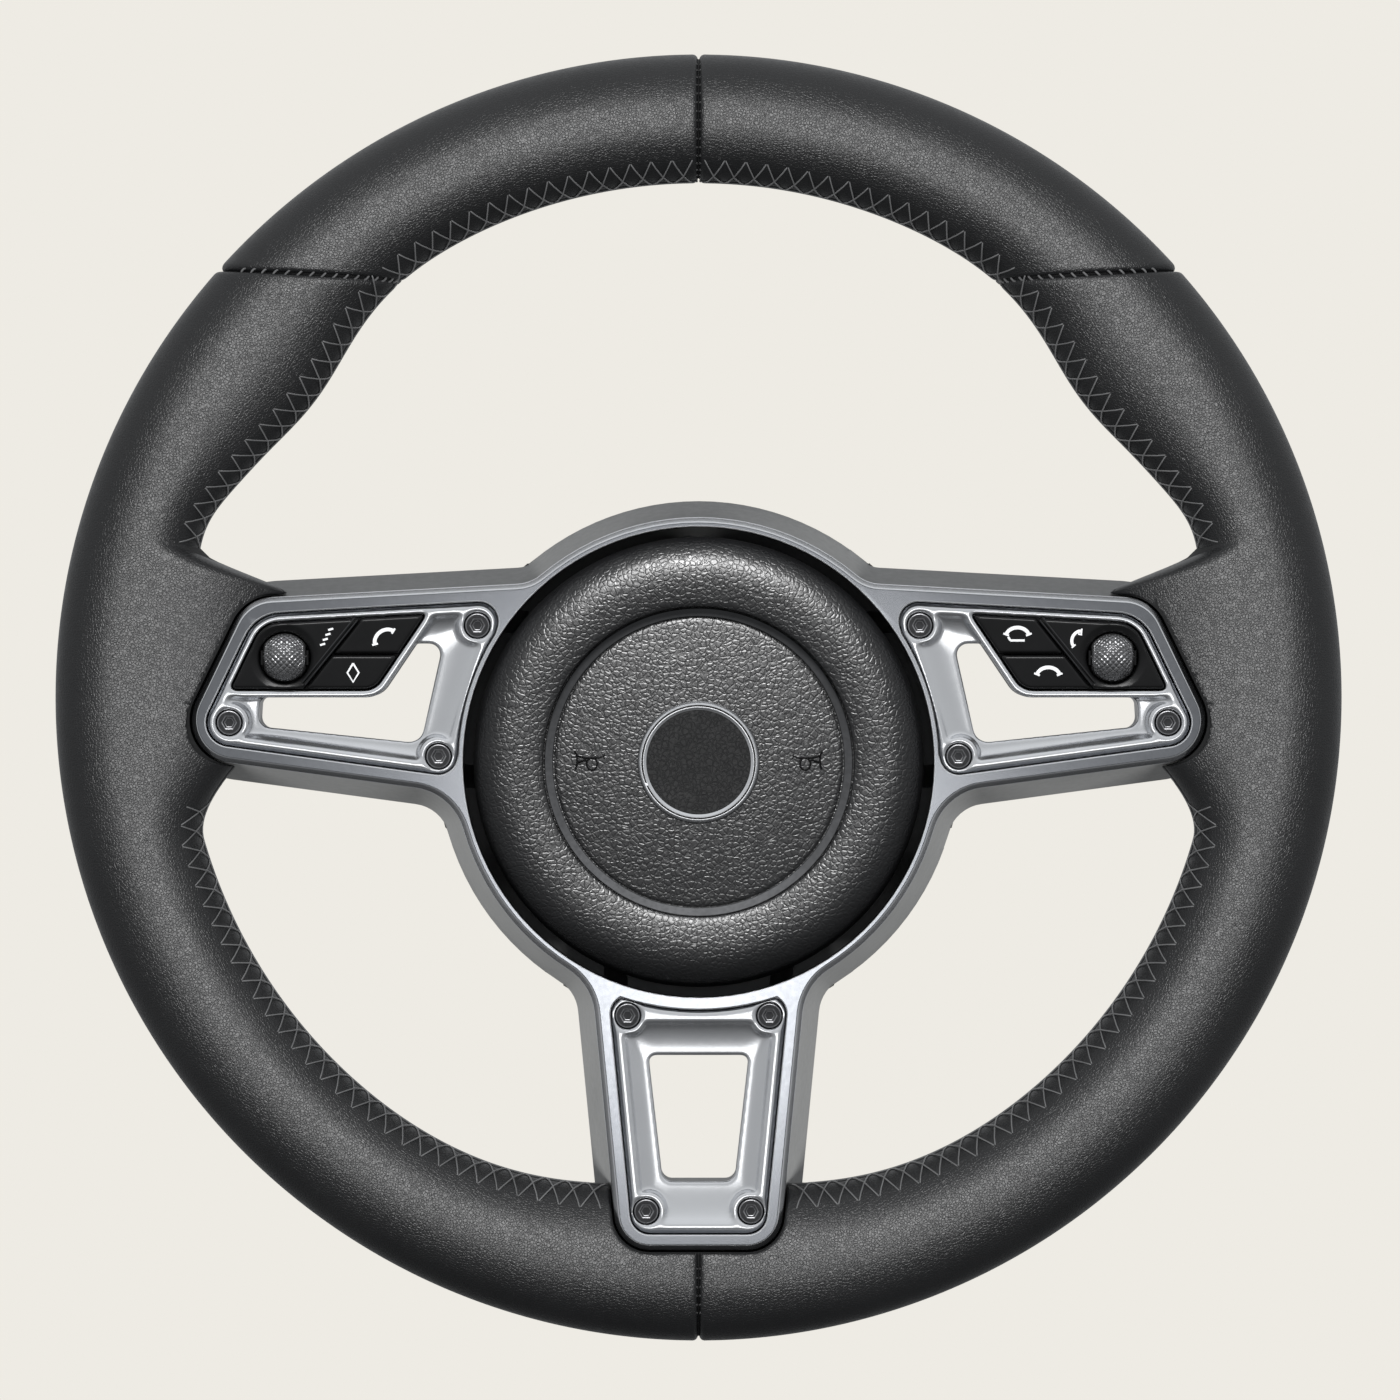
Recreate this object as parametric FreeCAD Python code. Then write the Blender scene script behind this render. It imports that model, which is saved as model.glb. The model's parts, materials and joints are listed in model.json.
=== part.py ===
"""Steering wheel with a leather rim, three metal spokes, a pressing horn pad and two switch packs."""

import FreeCAD
import Part
import math
import os

Vector = FreeCAD.Vector

# Shared frame in millimetres: +X right, +Z up, +Y towards the dashboard.
# The origin is the centre of the column bore's mouth. A "forward" level is a distance
# from that mouth towards the driver, so it runs along -Y.

# Rim
RIM_DIAMETER = 360.0
RIM_WIDTH = 36.0
RIM_DEPTH = 30.0
RIM_LEVEL = 52.0
RIM_SQUARENESS = 2.25
GRIP_SWELL = 8.3
GRIP_ANGLE = 37.5
GRIP_SPREAD = 11.6
NECK_DIP = 2.4
NECK_ANGLE = 19.0
NECK_SPREAD = 5.0
ROOT_REACH = 26.0
ROOT_TOP = 15.2
ROOT_TOP_RAMP = 3.2
ROOT_FOOT = -8.5
ROOT_FOOT_RAMP = 15.0
FOOT_REACH = 8.0
FOOT_SPREAD = 18.0
LEATHER = 1.3
SEAM_GAP = 0.4
SEAM_ANGLE = 46.8
SEAM_TILT = -4.5
SECTION_POINTS = 20

# Skeleton in the rim and spokes
RING_INSET = 17.0
RING_BAR = 6.5
ARM_WIDTH = 6.4
ARM_DEPTH = 6.0
ARM_LEVEL = 41.0
ARM_RING_LEVEL = 47.5
ARM_RISE = 12.0
HUB_DISC_RADIUS = 50.0
HUB_DISC_BACK = 18.0
HUB_DISC_DEPTH = 8.0
BOSS_RADIUS = 17.0
BUSH_RADIUS = 12.0
BUSH_LENGTH = 22.0
COLUMN_BORE_RADIUS = 8.5
COLUMN_BORE_LENGTH = 20.0
COLUMN_BOLT_RADIUS = 5.2
BOLT_HEAD_RADIUS = 11.0

# Horn pad
PAD_DROP = 18.0
PAD_RADIUS = 62.8
PAD_GAP = 2.8
PAD_SKIRT_RADIUS = 60.0
PAD_CROWN_RADIUS = 53.0
PAD_CROWN_LEVEL = 69.6
PAD_EDGE_LEVEL = 60.5
PAD_CENTRE_LEVEL = 65.6
PAD_WALL = 2.8
BAND_RADIUS = 43.0
BAND_WIDTH = 2.5
EMBLEM_RADIUS = 17.0
EMBLEM_DEPTH = 2.2
EMBLEM_SINK = 1.1
HORN_TRAVEL = 3.0
HORN_SPRING_LENGTH = 10.0
MODULE_PLATE_DEPTH = 2.0
INFLATOR_RADIUS = 26.0
INFLATOR_TOP = 52.0
INFLATOR_FLANGE = 33.0
INFLATOR_BOLT_CIRCLE = 29.7
CUSHION_RADIUS = 54.5
CUSHION_INNER_RADIUS = 34.5
CUSHION_TOP = 60.0
PIN_RADIUS = 2.5
PIN_X = 31.0
PIN_Z = 27.0
SPRING_COIL = 4.2
SPRING_WIRE = 0.6
SPRING_TURNS = 4
CONTACT_RADIUS = 2.5
CONTACT_CIRCLE = 41.0
CONTACT_DEPTH = 3.2

# Spoke frame, given for the left half; the right half is its mirror image
HUB_WALL = 2.7
FRAME_BACK = 55.0
FRAME_FRONT = 64.0
FRAME_BEVEL = 1.4
SIDE_END_INSET = 40.0
SPOKE_LENGTH = 71.7
SIDE_TOP_ROUND = 12.0
SIDE_BOTTOM_ROUND = 12.0
LOWER_END_INSET = 25.9
LOWER_ROUND = 10.0
LOWER_HALF_TOP = 28.8
LOWER_HALF_END = 22.6
TOP_BLEND = 11.0
BOTTOM_BLEND = 16.0
LOWER_BLEND = 16.0

# Spoke inserts
INSERT_MARGIN = 4.7
INSERT_BACK = 58.0
INSERT_FRONT = 63.4
INSERT_BORDER = 3.0
INSERT_HUB_WALL = 1.6
LOWER_HUB_WALL = 3.7
POCKET_FLOOR = 60.0
WINDOW_LEDGE = 1.4
FRAME_LEDGE = 2.0
BAY_BORDER = 2.2
BAY_RAIL = 2.0
SCREW_BOSS_RADIUS = 5.0
SCREW_POST_RADIUS = 4.4
SCREW_POST_LENGTH = 6.0
SCREW_HEAD_RADIUS = 3.45
SCREW_HEAD_DEPTH = 2.4
SCREW_HEAD_SINK = 0.8
SCREW_SHANK_RADIUS = 1.6
SCREW_LENGTH = 9.0
SOCKET_WIDTH = 3.0
SOCKET_DEPTH = 1.5

# Rear cover
COVER_DRAFT = 5.0
COVER_WALL = 2.4
COVER_BACK = 35.5
COVER_EDGE = 2.5
BOWL_BACK = 6.0
BOWL_FLOOR_RADIUS = 58.0
BOWL_OPENING_RADIUS = 42.0
WINDOW_TUBE_WALL = 1.2
COVER_POST_RADIUS = 4.5
COVER_SCREW_CIRCLE = 46.0

# Switch packs
HOUSING_BACK = 46.0
HOUSING_FRONT = 57.9
HOUSING_WALL = 1.2
HOUSING_POST_RADIUS = 3.0
BOARD_DEPTH = 1.6
MAT_DEPTH = 0.6
DOME_RADIUS = 2.6
DOME_DEPTH = 1.2
PRESS_TRAVEL = 0.8
BUTTON_FRONT = 63.2
BUTTON_FACE = 2.2
BUTTON_SKIRT = 4.3
BUTTON_WALL = 1.0
BUTTON_BEVEL = 0.7
BUTTON_SPLIT = 12.0
PLUNGER_RADIUS = 1.8
BEZEL_FACE = 1.7
ROLLER_RADIUS = 6.8
ROLLER_HALF = 5.8
ROLLER_LEVEL = 61.2
ROLLER_HEIGHT = 11.1
ROLLER_FROM_END = 24.6
ROLLER_HOLE_GAP = 0.4
DISH_REACH = 2.2
AXLE_RADIUS = 1.0
CHEEK_GAP = 0.25
CHEEK_DEPTH = 0.55
CHEEK_HALF = 2.0
CHEEK_EDGE = 0.5

# Clearances
FIT = 0.05
RUNNING = 0.04
PIECE_GAP = 0.3
LEATHER_GAP = 0.6
SMALL_ROUND = 0.6

# Sizes that follow from the values above
RIM_RADIUS = RIM_DIAMETER / 2
RING_RADIUS = RIM_RADIUS - RING_INSET
HUB_DISC_FRONT = HUB_DISC_BACK + HUB_DISC_DEPTH
PAD_OPENING = PAD_RADIUS + PAD_GAP
HUB_RADIUS = PAD_OPENING + HUB_WALL
PAD_AXIS = Vector(0, 0, -PAD_DROP)
SPOKE_END = RIM_RADIUS - SIDE_END_INSET
LOWER_END = -(RIM_RADIUS - LOWER_END_INSET)
HUB_FOOT = -(PAD_DROP + HUB_RADIUS)
SPOKE_STRETCH = (SPOKE_END - HUB_RADIUS) / SPOKE_LENGTH
PLATE_BACK = HUB_DISC_FRONT + HORN_SPRING_LENGTH
PLATE_FRONT = PLATE_BACK + MODULE_PLATE_DEPTH
HEAD_TOP = INSERT_FRONT - SCREW_HEAD_SINK
HEAD_SEAT = HEAD_TOP - SCREW_HEAD_DEPTH
BOARD_BACK = HOUSING_BACK + HOUSING_WALL
MAT_BACK = BOARD_BACK + BOARD_DEPTH
DOME_TOP = MAT_BACK + MAT_DEPTH + DOME_DEPTH
PRESS_BACK = DOME_TOP + PRESS_TRAVEL + 2 * FIT
ROLLER_HOLE = ROLLER_RADIUS + ROLLER_HOLE_GAP
DISH_RADIUS = ROLLER_HOLE + DISH_REACH


def from_end(inset, z):
    """Point of the left spoke, measured inwards from its end on a spoke of the drawn length."""
    return Vector(-(SPOKE_END - inset * SPOKE_STRETCH), 0, z)


def at_end(inset, z):
    """Point of the left spoke at a fixed distance inwards from its end."""
    return Vector(-(SPOKE_END - inset), 0, z)


def past_dish(inset, z, share):
    """Point of the left spoke beyond a share of the roller's dish, which keeps its width."""
    width = 2 * DISH_RADIUS * share
    return from_end(inset - width, z) + Vector(width, 0, 0)


def from_hub(outset, z):
    """Point of the left spoke, measured outwards from the hub's wall on a spoke of the drawn length."""
    return Vector(-(HUB_RADIUS + outset * SPOKE_STRETCH), 0, z)


# Corner points of the left half of the spoke frame
SIDE_TOP_INNER = from_hub(-8.3, 31.2)
SIDE_TOP_OUTER = from_end(13.8, 27.6)
SIDE_BOTTOM_OUTER = from_end(-7.4, -16.0)
SIDE_BOTTOM_INNER = from_hub(1.7, -26.4)
LOWER_TOP = Vector(-LOWER_HALF_TOP, 0, HUB_FOOT - 4.4)
LOWER_BOTTOM = Vector(-LOWER_HALF_END, 0, LOWER_END)

# Lines and screws of the left insert
INSERT_HUB_TOP = from_hub(-11.8, 19.0)
INSERT_HUB_BOTTOM = from_hub(-1.1, -16.0)
INSERT_ROUNDS = [11.0, 6.5, 5.2, 5.2]
SIDE_SCREWS = [at_end(9.1, -7.0), from_hub(4.2, -16.4), from_hub(-6.6, 20.1)]
LOWER_SCREWS = [Vector(19.8, 0, HUB_FOOT - 2.4), Vector(14.6, 0, LOWER_END + 10.8)]
BAY_RIGHT_TOP = from_end(63.7, 22.5)
BAY_RIGHT_BOTTOM = from_end(49.7, 1.8)
BAY_FLOOR = 2.0
ROLLER_POINT = past_dish(ROLLER_FROM_END, ROLLER_HEIGHT, 0.5)
DIVIDER_TOP = past_dish(45.2, 21.7, 1)
DIVIDER_BOTTOM = past_dish(30.3, 2.9, 1)
WINDOW_END_TOP = at_end(17.7, 0.0)
WINDOW_END_BOTTOM = at_end(17.2, -8.0)
WINDOW_HUB_BOTTOM = from_hub(9.3, -12.7)
WINDOW_HUB_TOP = from_hub(3.1, 15.0)
WINDOW_ROUNDS = [2.0, 3.0, 4.0, 3.0, 1.0, 7.0]


def at(x, z, forward):
    """Point at x and z on a forward level."""
    return Vector(x, -forward, z)


def whole(shape):
    """The single solid that a fuse or a cut has left."""
    pieces = shape.Solids
    if len(pieces) != 1:
        raise ValueError(f"{len(pieces)} solids where one is meant")
    return pieces[0]


def mirrored(shape):
    """The mirror image on the other side of the wheel."""
    return shape.mirror(Vector(0, 0, 0), Vector(1, 0, 0))


def line(start, end):
    """Straight edge."""
    return Part.LineSegment(start, end).toShape()


def arc(centre, start, end):
    """Round edge of less than half a turn."""
    middle = ((start - centre) + (end - centre)).normalize()
    return Part.Arc(start, centre + middle * (start - centre).Length, end).toShape()


def lifted(wire, forward):
    """The outline on a forward level."""
    wire.translate(Vector(0, -forward, 0))
    return wire


def prism(wire, end):
    """Outline pulled forward to the level end."""
    depth = end + wire.BoundBox.YMax
    return Part.Face(wire).extrude(Vector(0, -depth, 0))


def ruled(first, second):
    """Solid with straight walls between two outlines of like corners."""
    return Part.makeLoft([first, second], True, True)


def rod(point, radius, start, end):
    """Round bar along the depth at a point, from one forward level to another."""
    base = Vector(point.x, -start, point.z)
    return Part.makeCylinder(radius, end - start, base, Vector(0, -1, 0))


def turned(profile, point):
    """Body of revolution about the depth axis through point.

    Each step of profile is (radius, level), or (radius, level, via radius, via level) for an arc.
    """
    ends = [Vector(point.x + step[0], -step[1], point.z) for step in profile]
    edges = []
    for i, step in enumerate(profile):
        if len(step) == 4:
            via = Vector(point.x + step[2], -step[3], point.z)
            edges.append(Part.Arc(ends[i - 1], via, ends[i]).toShape())
        else:
            edges.append(line(ends[i - 1], ends[i]))
    face = Part.Face(Part.Wire(edges))
    return face.revolve(point, Vector(0, 1, 0), 360)


def side(start, end, outwards):
    """Straight side moved outwards: a point on it, its way and its outward normal.

    Sides run anticlockwise as the driver sees them.
    """
    way = (end - start).normalize()
    out = Vector(way.z, 0, -way.x)
    return start + out * outwards, way, out


def meet(first, second):
    """Point where two sides cross."""
    gap = second[0] - first[0]
    turn = first[1].x * second[1].z - first[1].z * second[1].x
    along = (gap.x * second[1].z - gap.z * second[1].x) / turn
    return first[0] + first[1] * along


def corner(point, back, on, radius):
    """Start, centre and end of the round in a corner between two ways."""
    half = back.getAngle(on) / 2
    reach = radius / math.tan(half)
    centre = point + (back + on).normalize() * (radius / math.sin(half))
    return point + back * reach, centre, point + on * reach


def blend(straight, radius, hub_radius, leaving):
    """Hollow round between the hub's circle and a side: its point on the hub, centre, point on the side."""
    base = straight[0] + straight[2] * radius - PAD_AXIS
    middle = base.dot(straight[1])
    root = math.sqrt(middle ** 2 - base.dot(base) + (hub_radius + radius) ** 2)
    along = -middle + (root if leaving else -root)
    centre = PAD_AXIS + base + straight[1] * along
    on_hub = PAD_AXIS + (centre - PAD_AXIS) * (hub_radius / (hub_radius + radius))
    return on_hub, centre, centre - straight[2] * radius


def spoke_outline(outwards, forward):
    """Outline of the hub and the three spokes, moved outwards all round."""
    hub_radius = HUB_RADIUS + outwards
    top = side(SIDE_TOP_INNER, SIDE_TOP_OUTER, outwards)
    end = side(SIDE_TOP_OUTER, SIDE_BOTTOM_OUTER, outwards)
    bottom = side(SIDE_BOTTOM_OUTER, SIDE_BOTTOM_INNER, outwards)
    lower = side(LOWER_TOP, LOWER_BOTTOM, outwards)
    foot = side(LOWER_BOTTOM, Vector(0, 0, LOWER_END), outwards)
    crown = PAD_AXIS + Vector(0, 0, hub_radius)
    top_hub, top_centre, top_side = blend(top, TOP_BLEND - outwards, hub_radius, True)
    high = corner(meet(top, end), top[1] * -1, end[1], SIDE_TOP_ROUND + outwards)
    low = corner(meet(end, bottom), end[1] * -1, bottom[1], SIDE_BOTTOM_ROUND + outwards)
    bottom_hub, bottom_centre, bottom_side = blend(bottom, BOTTOM_BLEND - outwards, hub_radius, False)
    lower_hub, lower_centre, lower_side = blend(lower, LOWER_BLEND - outwards, hub_radius, True)
    toe = corner(meet(lower, foot), lower[1] * -1, foot[1], LOWER_ROUND + outwards)
    half = [
        arc(PAD_AXIS, crown, top_hub),
        arc(top_centre, top_hub, top_side),
        line(top_side, high[0]),
        arc(high[1], high[0], high[2]),
        line(high[2], low[0]),
        arc(low[1], low[0], low[2]),
        line(low[2], bottom_side),
        arc(bottom_centre, bottom_side, bottom_hub),
        arc(PAD_AXIS, bottom_hub, lower_hub),
        arc(lower_centre, lower_hub, lower_side),
        line(lower_side, toe[0]),
        arc(toe[1], toe[0], toe[2]),
        line(toe[2], Vector(0, 0, LOWER_END - outwards)),
    ]
    other = [mirrored(edge) for edge in reversed(half)]
    return lifted(Part.Wire(half + other), forward)


def rounded(corners, forward):
    """Outline through corners (point, radius), on a forward level."""
    count = len(corners)
    rounds = []
    for i, (point, radius) in enumerate(corners):
        back = (corners[i - 1][0] - point).normalize()
        on = (corners[(i + 1) % count][0] - point).normalize()
        rounds.append(corner(point, back, on, radius))
    edges = []
    for i, (start, centre, end) in enumerate(rounds):
        edges.append(arc(centre, start, end))
        edges.append(line(end, rounds[(i + 1) % count][0]))
    return lifted(Part.Wire(edges), forward)


def moved(corners, margins):
    """Corners after each side, from a corner to the next, moves outwards by its margin."""
    count = len(corners)
    points = [point for point, _ in corners]
    sides = [side(points[i], points[(i + 1) % count], margins[i]) for i in range(count)]
    result = []
    for i, (point, radius) in enumerate(corners):
        before = sides[i - 1]
        after = sides[i]
        bend = before[1].x * after[1].z - before[1].z * after[1].x
        shift = max(margins[i - 1], margins[i], key=abs)
        grown = radius + shift if bend > 0 else radius - shift
        result.append((meet(before, after), max(grown, SMALL_ROUND)))
    return result


def grown(corners, margin):
    """Corners after every side moves outwards by margin."""
    return moved(corners, [margin] * len(corners))


def outlined(sides, rounds):
    """Corners where each side meets the next, with their radii."""
    return [(meet(sides[i - 1], sides[i]), rounds[i]) for i in range(len(sides))]


# Outlines of the left side insert, its switch bay and its window
INSERT_TOP_SIDE = side(SIDE_TOP_INNER, SIDE_TOP_OUTER, -INSERT_MARGIN)
INSERT_END_SIDE = side(SIDE_TOP_OUTER, SIDE_BOTTOM_OUTER, -INSERT_MARGIN)
INSERT_BOTTOM_SIDE = side(SIDE_BOTTOM_OUTER, SIDE_BOTTOM_INNER, -INSERT_MARGIN)
INSERT_HUB_SIDE = side(INSERT_HUB_BOTTOM, INSERT_HUB_TOP, 0)
BAY_RIGHT_SIDE = side(BAY_RIGHT_BOTTOM, BAY_RIGHT_TOP, 0)
BAY_FLOOR_SIDE = side(Vector(-1, 0, BAY_FLOOR), Vector(1, 0, BAY_FLOOR), 0)


def inner(straight, margin):
    """A side moved inwards."""
    return straight[0] - straight[2] * margin, straight[1], straight[2]


def turned_back(straight):
    """A side run the other way, with its outside on the other hand."""
    return straight[0], straight[1] * -1, straight[2] * -1


def insert_corners():
    """Left insert, from the top outer corner round to the top inner corner."""
    sides = [INSERT_END_SIDE, INSERT_BOTTOM_SIDE, INSERT_HUB_SIDE, INSERT_TOP_SIDE]
    return outlined(sides, INSERT_ROUNDS)


def bay_corners():
    """Switch bay, from the top outer corner round to the top inner corner."""
    sides = [inner(INSERT_END_SIDE, BAY_BORDER), BAY_FLOOR_SIDE]
    sides += [BAY_RIGHT_SIDE, inner(INSERT_TOP_SIDE, BAY_BORDER)]
    return outlined(sides, [8.0, 1.2, 6.0, SMALL_ROUND])


def rail_sides():
    """Sides of the rail between the bay and the window, as the window meets them."""
    slope = turned_back(inner(BAY_RIGHT_SIDE, -BAY_RAIL))
    shelf = turned_back(inner(BAY_FLOOR_SIDE, -BAY_RAIL))
    return slope, shelf


def window_corners():
    """Side window, from its upper outer corner."""
    slope, shelf = rail_sides()
    end = side(WINDOW_END_TOP, WINDOW_END_BOTTOM, 0)
    bottom = side(WINDOW_END_BOTTOM, WINDOW_HUB_BOTTOM, 0)
    hub = side(WINDOW_HUB_BOTTOM, WINDOW_HUB_TOP, 0)
    top = side(WINDOW_HUB_TOP, WINDOW_HUB_TOP + Vector(-1, 0, 0), 0)
    return outlined([end, bottom, hub, top, slope, shelf], WINDOW_ROUNDS)


def pocket_corners():
    """Upper edge of the sloping pocket round the side window."""
    slope, shelf = rail_sides()
    sides = [inner(INSERT_END_SIDE, INSERT_BORDER), inner(INSERT_BOTTOM_SIDE, INSERT_BORDER)]
    sides += [inner(INSERT_HUB_SIDE, INSERT_BORDER), inner(INSERT_TOP_SIDE, INSERT_BORDER)]
    return outlined(sides + [slope, shelf], [1.0, 3.5, 2.2, 2.2, 1.0, 7.0])


def lower_corners(half_top, top, half_end, end, rounds):
    """Tapered outline of the lower spoke, from its upper left corner."""
    return [
        (Vector(-half_top, 0, top), rounds[0]),
        (Vector(-half_end, 0, end), rounds[1]),
        (Vector(half_end, 0, end), rounds[1]),
        (Vector(half_top, 0, top), rounds[0]),
    ]


LOWER_TAPER = (LOWER_HALF_TOP - LOWER_HALF_END) / (LOWER_TOP.z - LOWER_END)
LOWER_INSERT_TOP = HUB_FOOT + 3.3
LOWER_POCKET_TOP = HUB_FOOT - 4.2
LOWER_WINDOW_TOP = HUB_FOOT - 13.6
LOWER_WINDOW_END = LOWER_END + 19.1
LOWER_WINDOW_HALF_TOP = 13.9
LOWER_WINDOW_HALF_END = 9.9


def lower_half(z, margin):
    """Half width of the lower spoke at a height, less a margin."""
    return LOWER_HALF_END + (z - LOWER_END) * LOWER_TAPER - margin


def lower_insert_corners():
    """Lower insert."""
    end = LOWER_END + INSERT_MARGIN
    half_top = lower_half(LOWER_INSERT_TOP, INSERT_MARGIN)
    return lower_corners(half_top, LOWER_INSERT_TOP, lower_half(end, INSERT_MARGIN), end, [5.3, 5.3])


def lower_pocket_corners():
    """Upper edge of the pocket round the lower window."""
    margin = INSERT_MARGIN + INSERT_BORDER
    end = LOWER_END + margin
    half_top = lower_half(LOWER_POCKET_TOP, margin)
    return lower_corners(half_top, LOWER_POCKET_TOP, lower_half(end, margin), end, [2.4, 2.4])


def lower_window_corners():
    """Lower window."""
    return lower_corners(
        LOWER_WINDOW_HALF_TOP, LOWER_WINDOW_TOP, LOWER_WINDOW_HALF_END, LOWER_WINDOW_END, [1.6, 2.8]
    )


LEFT_WINDOW = window_corners()
LOWER_WINDOW = lower_window_corners()
LEFT_BAY = bay_corners()


def hub_cut(shape, radius):
    """The shape outside a circle about the pad's axis."""
    bounds = shape.BoundBox
    return shape.cut(rod(PAD_AXIS, radius, -bounds.YMax - 1, -bounds.YMin + 1))


# Rim
def ramp(start, end, value):
    """Smooth step from 0 at start to 1 at end."""
    share = min(max((value - start) / (end - start), 0), 1)
    return share * share * (3 - 2 * share)


def rim_width(angle):
    """Width of the rim at an angle above the spokes: grips, spoke roots and foot."""
    grip = GRIP_SWELL * math.exp(-(((angle - GRIP_ANGLE) / GRIP_SPREAD) ** 2))
    neck = NECK_DIP * math.exp(-(((angle - NECK_ANGLE) / NECK_SPREAD) ** 2))
    upper = ramp(ROOT_TOP + ROOT_TOP_RAMP / 2, ROOT_TOP - ROOT_TOP_RAMP / 2, angle)
    lower = ramp(ROOT_FOOT - ROOT_FOOT_RAMP / 2, ROOT_FOOT + ROOT_FOOT_RAMP / 2, angle)
    foot = FOOT_REACH * math.exp(-(((angle + 90) / FOOT_SPREAD) ** 2))
    return RIM_WIDTH + grip - neck + ROOT_REACH * upper * lower + foot


def rim_section(angle, inset):
    """Closed section of the left half of the rim at an angle, moved inwards by inset."""
    half_width = rim_width(angle) / 2
    centre = RIM_RADIUS - half_width
    turn = math.radians(angle)
    points = []
    for i in range(SECTION_POINTS):
        phase = 2 * math.pi * i / SECTION_POINTS
        across = math.copysign(abs(math.cos(phase)) ** (2 / RIM_SQUARENESS), math.cos(phase))
        along = math.copysign(abs(math.sin(phase)) ** (2 / RIM_SQUARENESS), math.sin(phase))
        radius = centre + (half_width - inset) * across
        level = RIM_LEVEL + (RIM_DEPTH / 2 - inset) * along
        points.append(at(-radius * math.cos(turn), radius * math.sin(turn), level))
    curve = Part.BSplineCurve()
    curve.interpolate(points, PeriodicFlag=True)
    return Part.Wire(curve.toShape())


def rim_stretch(start, end, count, inset):
    """Stretch of the rim between two angles, lofted through its sections."""
    angles = [start + (end - start) * i / count for i in range(count + 1)]
    return Part.makeLoft([rim_section(angle, inset) for angle in angles], True, True)


def rim_half(inset):
    """Left half of the rim: top and grip, spoke root, its foot, and the lower rim."""
    grip_end = GRIP_ANGLE - GRIP_SPREAD - NECK_SPREAD
    root_end = ROOT_TOP - ROOT_TOP_RAMP
    foot_end = ROOT_FOOT - ROOT_FOOT_RAMP
    body = rim_stretch(90, grip_end, 14, inset)
    body = body.fuse(rim_stretch(grip_end, root_end, 9, inset))
    body = body.fuse(rim_stretch(root_end, foot_end, 8, inset))
    return body.fuse(rim_stretch(foot_end, -90, 14, inset))


def side_end_corners(outwards):
    """End of the left spoke, closed across the spoke."""
    end = side(SIDE_TOP_OUTER, SIDE_BOTTOM_OUTER, outwards)
    bottom = side(SIDE_BOTTOM_OUTER, SIDE_BOTTOM_INNER, outwards)
    across = side(from_end(RIM_WIDTH, -1), from_end(RIM_WIDTH, 1), 0)
    top = side(SIDE_TOP_INNER, SIDE_TOP_OUTER, outwards)
    rounds = [SIDE_TOP_ROUND + outwards, SIDE_BOTTOM_ROUND + outwards, SMALL_ROUND, SMALL_ROUND]
    return outlined([end, bottom, across, top], rounds)


def lower_end_corners(outwards):
    """End of the lower spoke, closed across the spoke."""
    left = side(LOWER_TOP, LOWER_BOTTOM, outwards)
    right = side(Vector(LOWER_HALF_END, 0, LOWER_END), Vector(LOWER_HALF_TOP, 0, LOWER_TOP.z), outwards)
    foot = side(Vector(-1, 0, LOWER_END), Vector(1, 0, LOWER_END), outwards)
    across = side(Vector(1, 0, LOWER_END + RIM_WIDTH), Vector(-1, 0, LOWER_END + RIM_WIDTH), 0)
    rounds = [SMALL_ROUND, LOWER_ROUND + outwards, LOWER_ROUND + outwards, SMALL_ROUND]
    return outlined([left, foot, right, across], rounds)


def spoke_room(corners_at):
    """Space that one spoke's end and its rear cover take out of the rim."""
    front = prism(rounded(corners_at(LEATHER_GAP), FRAME_BACK), RIM_LEVEL + RIM_DEPTH)
    wide = corners_at(COVER_DRAFT + LEATHER_GAP)
    floor = COVER_BACK + COVER_WALL
    middle = ruled(rounded(corners_at(LEATHER_GAP), FRAME_BACK), rounded(wide, floor))
    return front.fuse(middle).fuse(prism(rounded(wide, RIM_LEVEL - RIM_DEPTH), floor))


def leather_panels(rooms):
    """The two left leather panels, above and below the seam at the grip."""
    shell = rim_half(0).cut(rim_half(LEATHER))
    for room in rooms:
        shell = shell.cut(room)
    turn = math.radians(SEAM_ANGLE)
    reach = RIM_RADIUS - RIM_WIDTH / 2
    blade = Part.makeBox(RIM_DIAMETER, 2 * RIM_DEPTH, SEAM_GAP)
    blade.translate(Vector(-RIM_RADIUS, -RIM_DEPTH, -SEAM_GAP / 2))
    blade.rotate(Vector(0, 0, 0), Vector(0, 1, 0), -SEAM_TILT)
    blade.translate(at(-reach * math.cos(turn), reach * math.sin(turn), RIM_LEVEL))
    meeting = Part.makeBox(SEAM_GAP, 2 * RIM_DEPTH, RIM_DIAMETER + 2)
    meeting.translate(at(-SEAM_GAP / 2, -RIM_RADIUS - 1, RIM_LEVEL + RIM_DEPTH))
    panels = shell.cut(blade).cut(meeting).Solids
    if len(panels) != 2:
        raise ValueError(f"{len(panels)} leather panels on one side where two are meant")
    panels.sort(key=lambda panel: panel.CenterOfMass.z)
    return panels[1], panels[0]


# Skeleton
def along_to(point, way, centre, radius):
    """Distance from a point along a way to the circle about centre."""
    gap = point - centre
    middle = gap.dot(way)
    return -middle + math.sqrt(middle ** 2 - gap.dot(gap) + radius ** 2)


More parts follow.
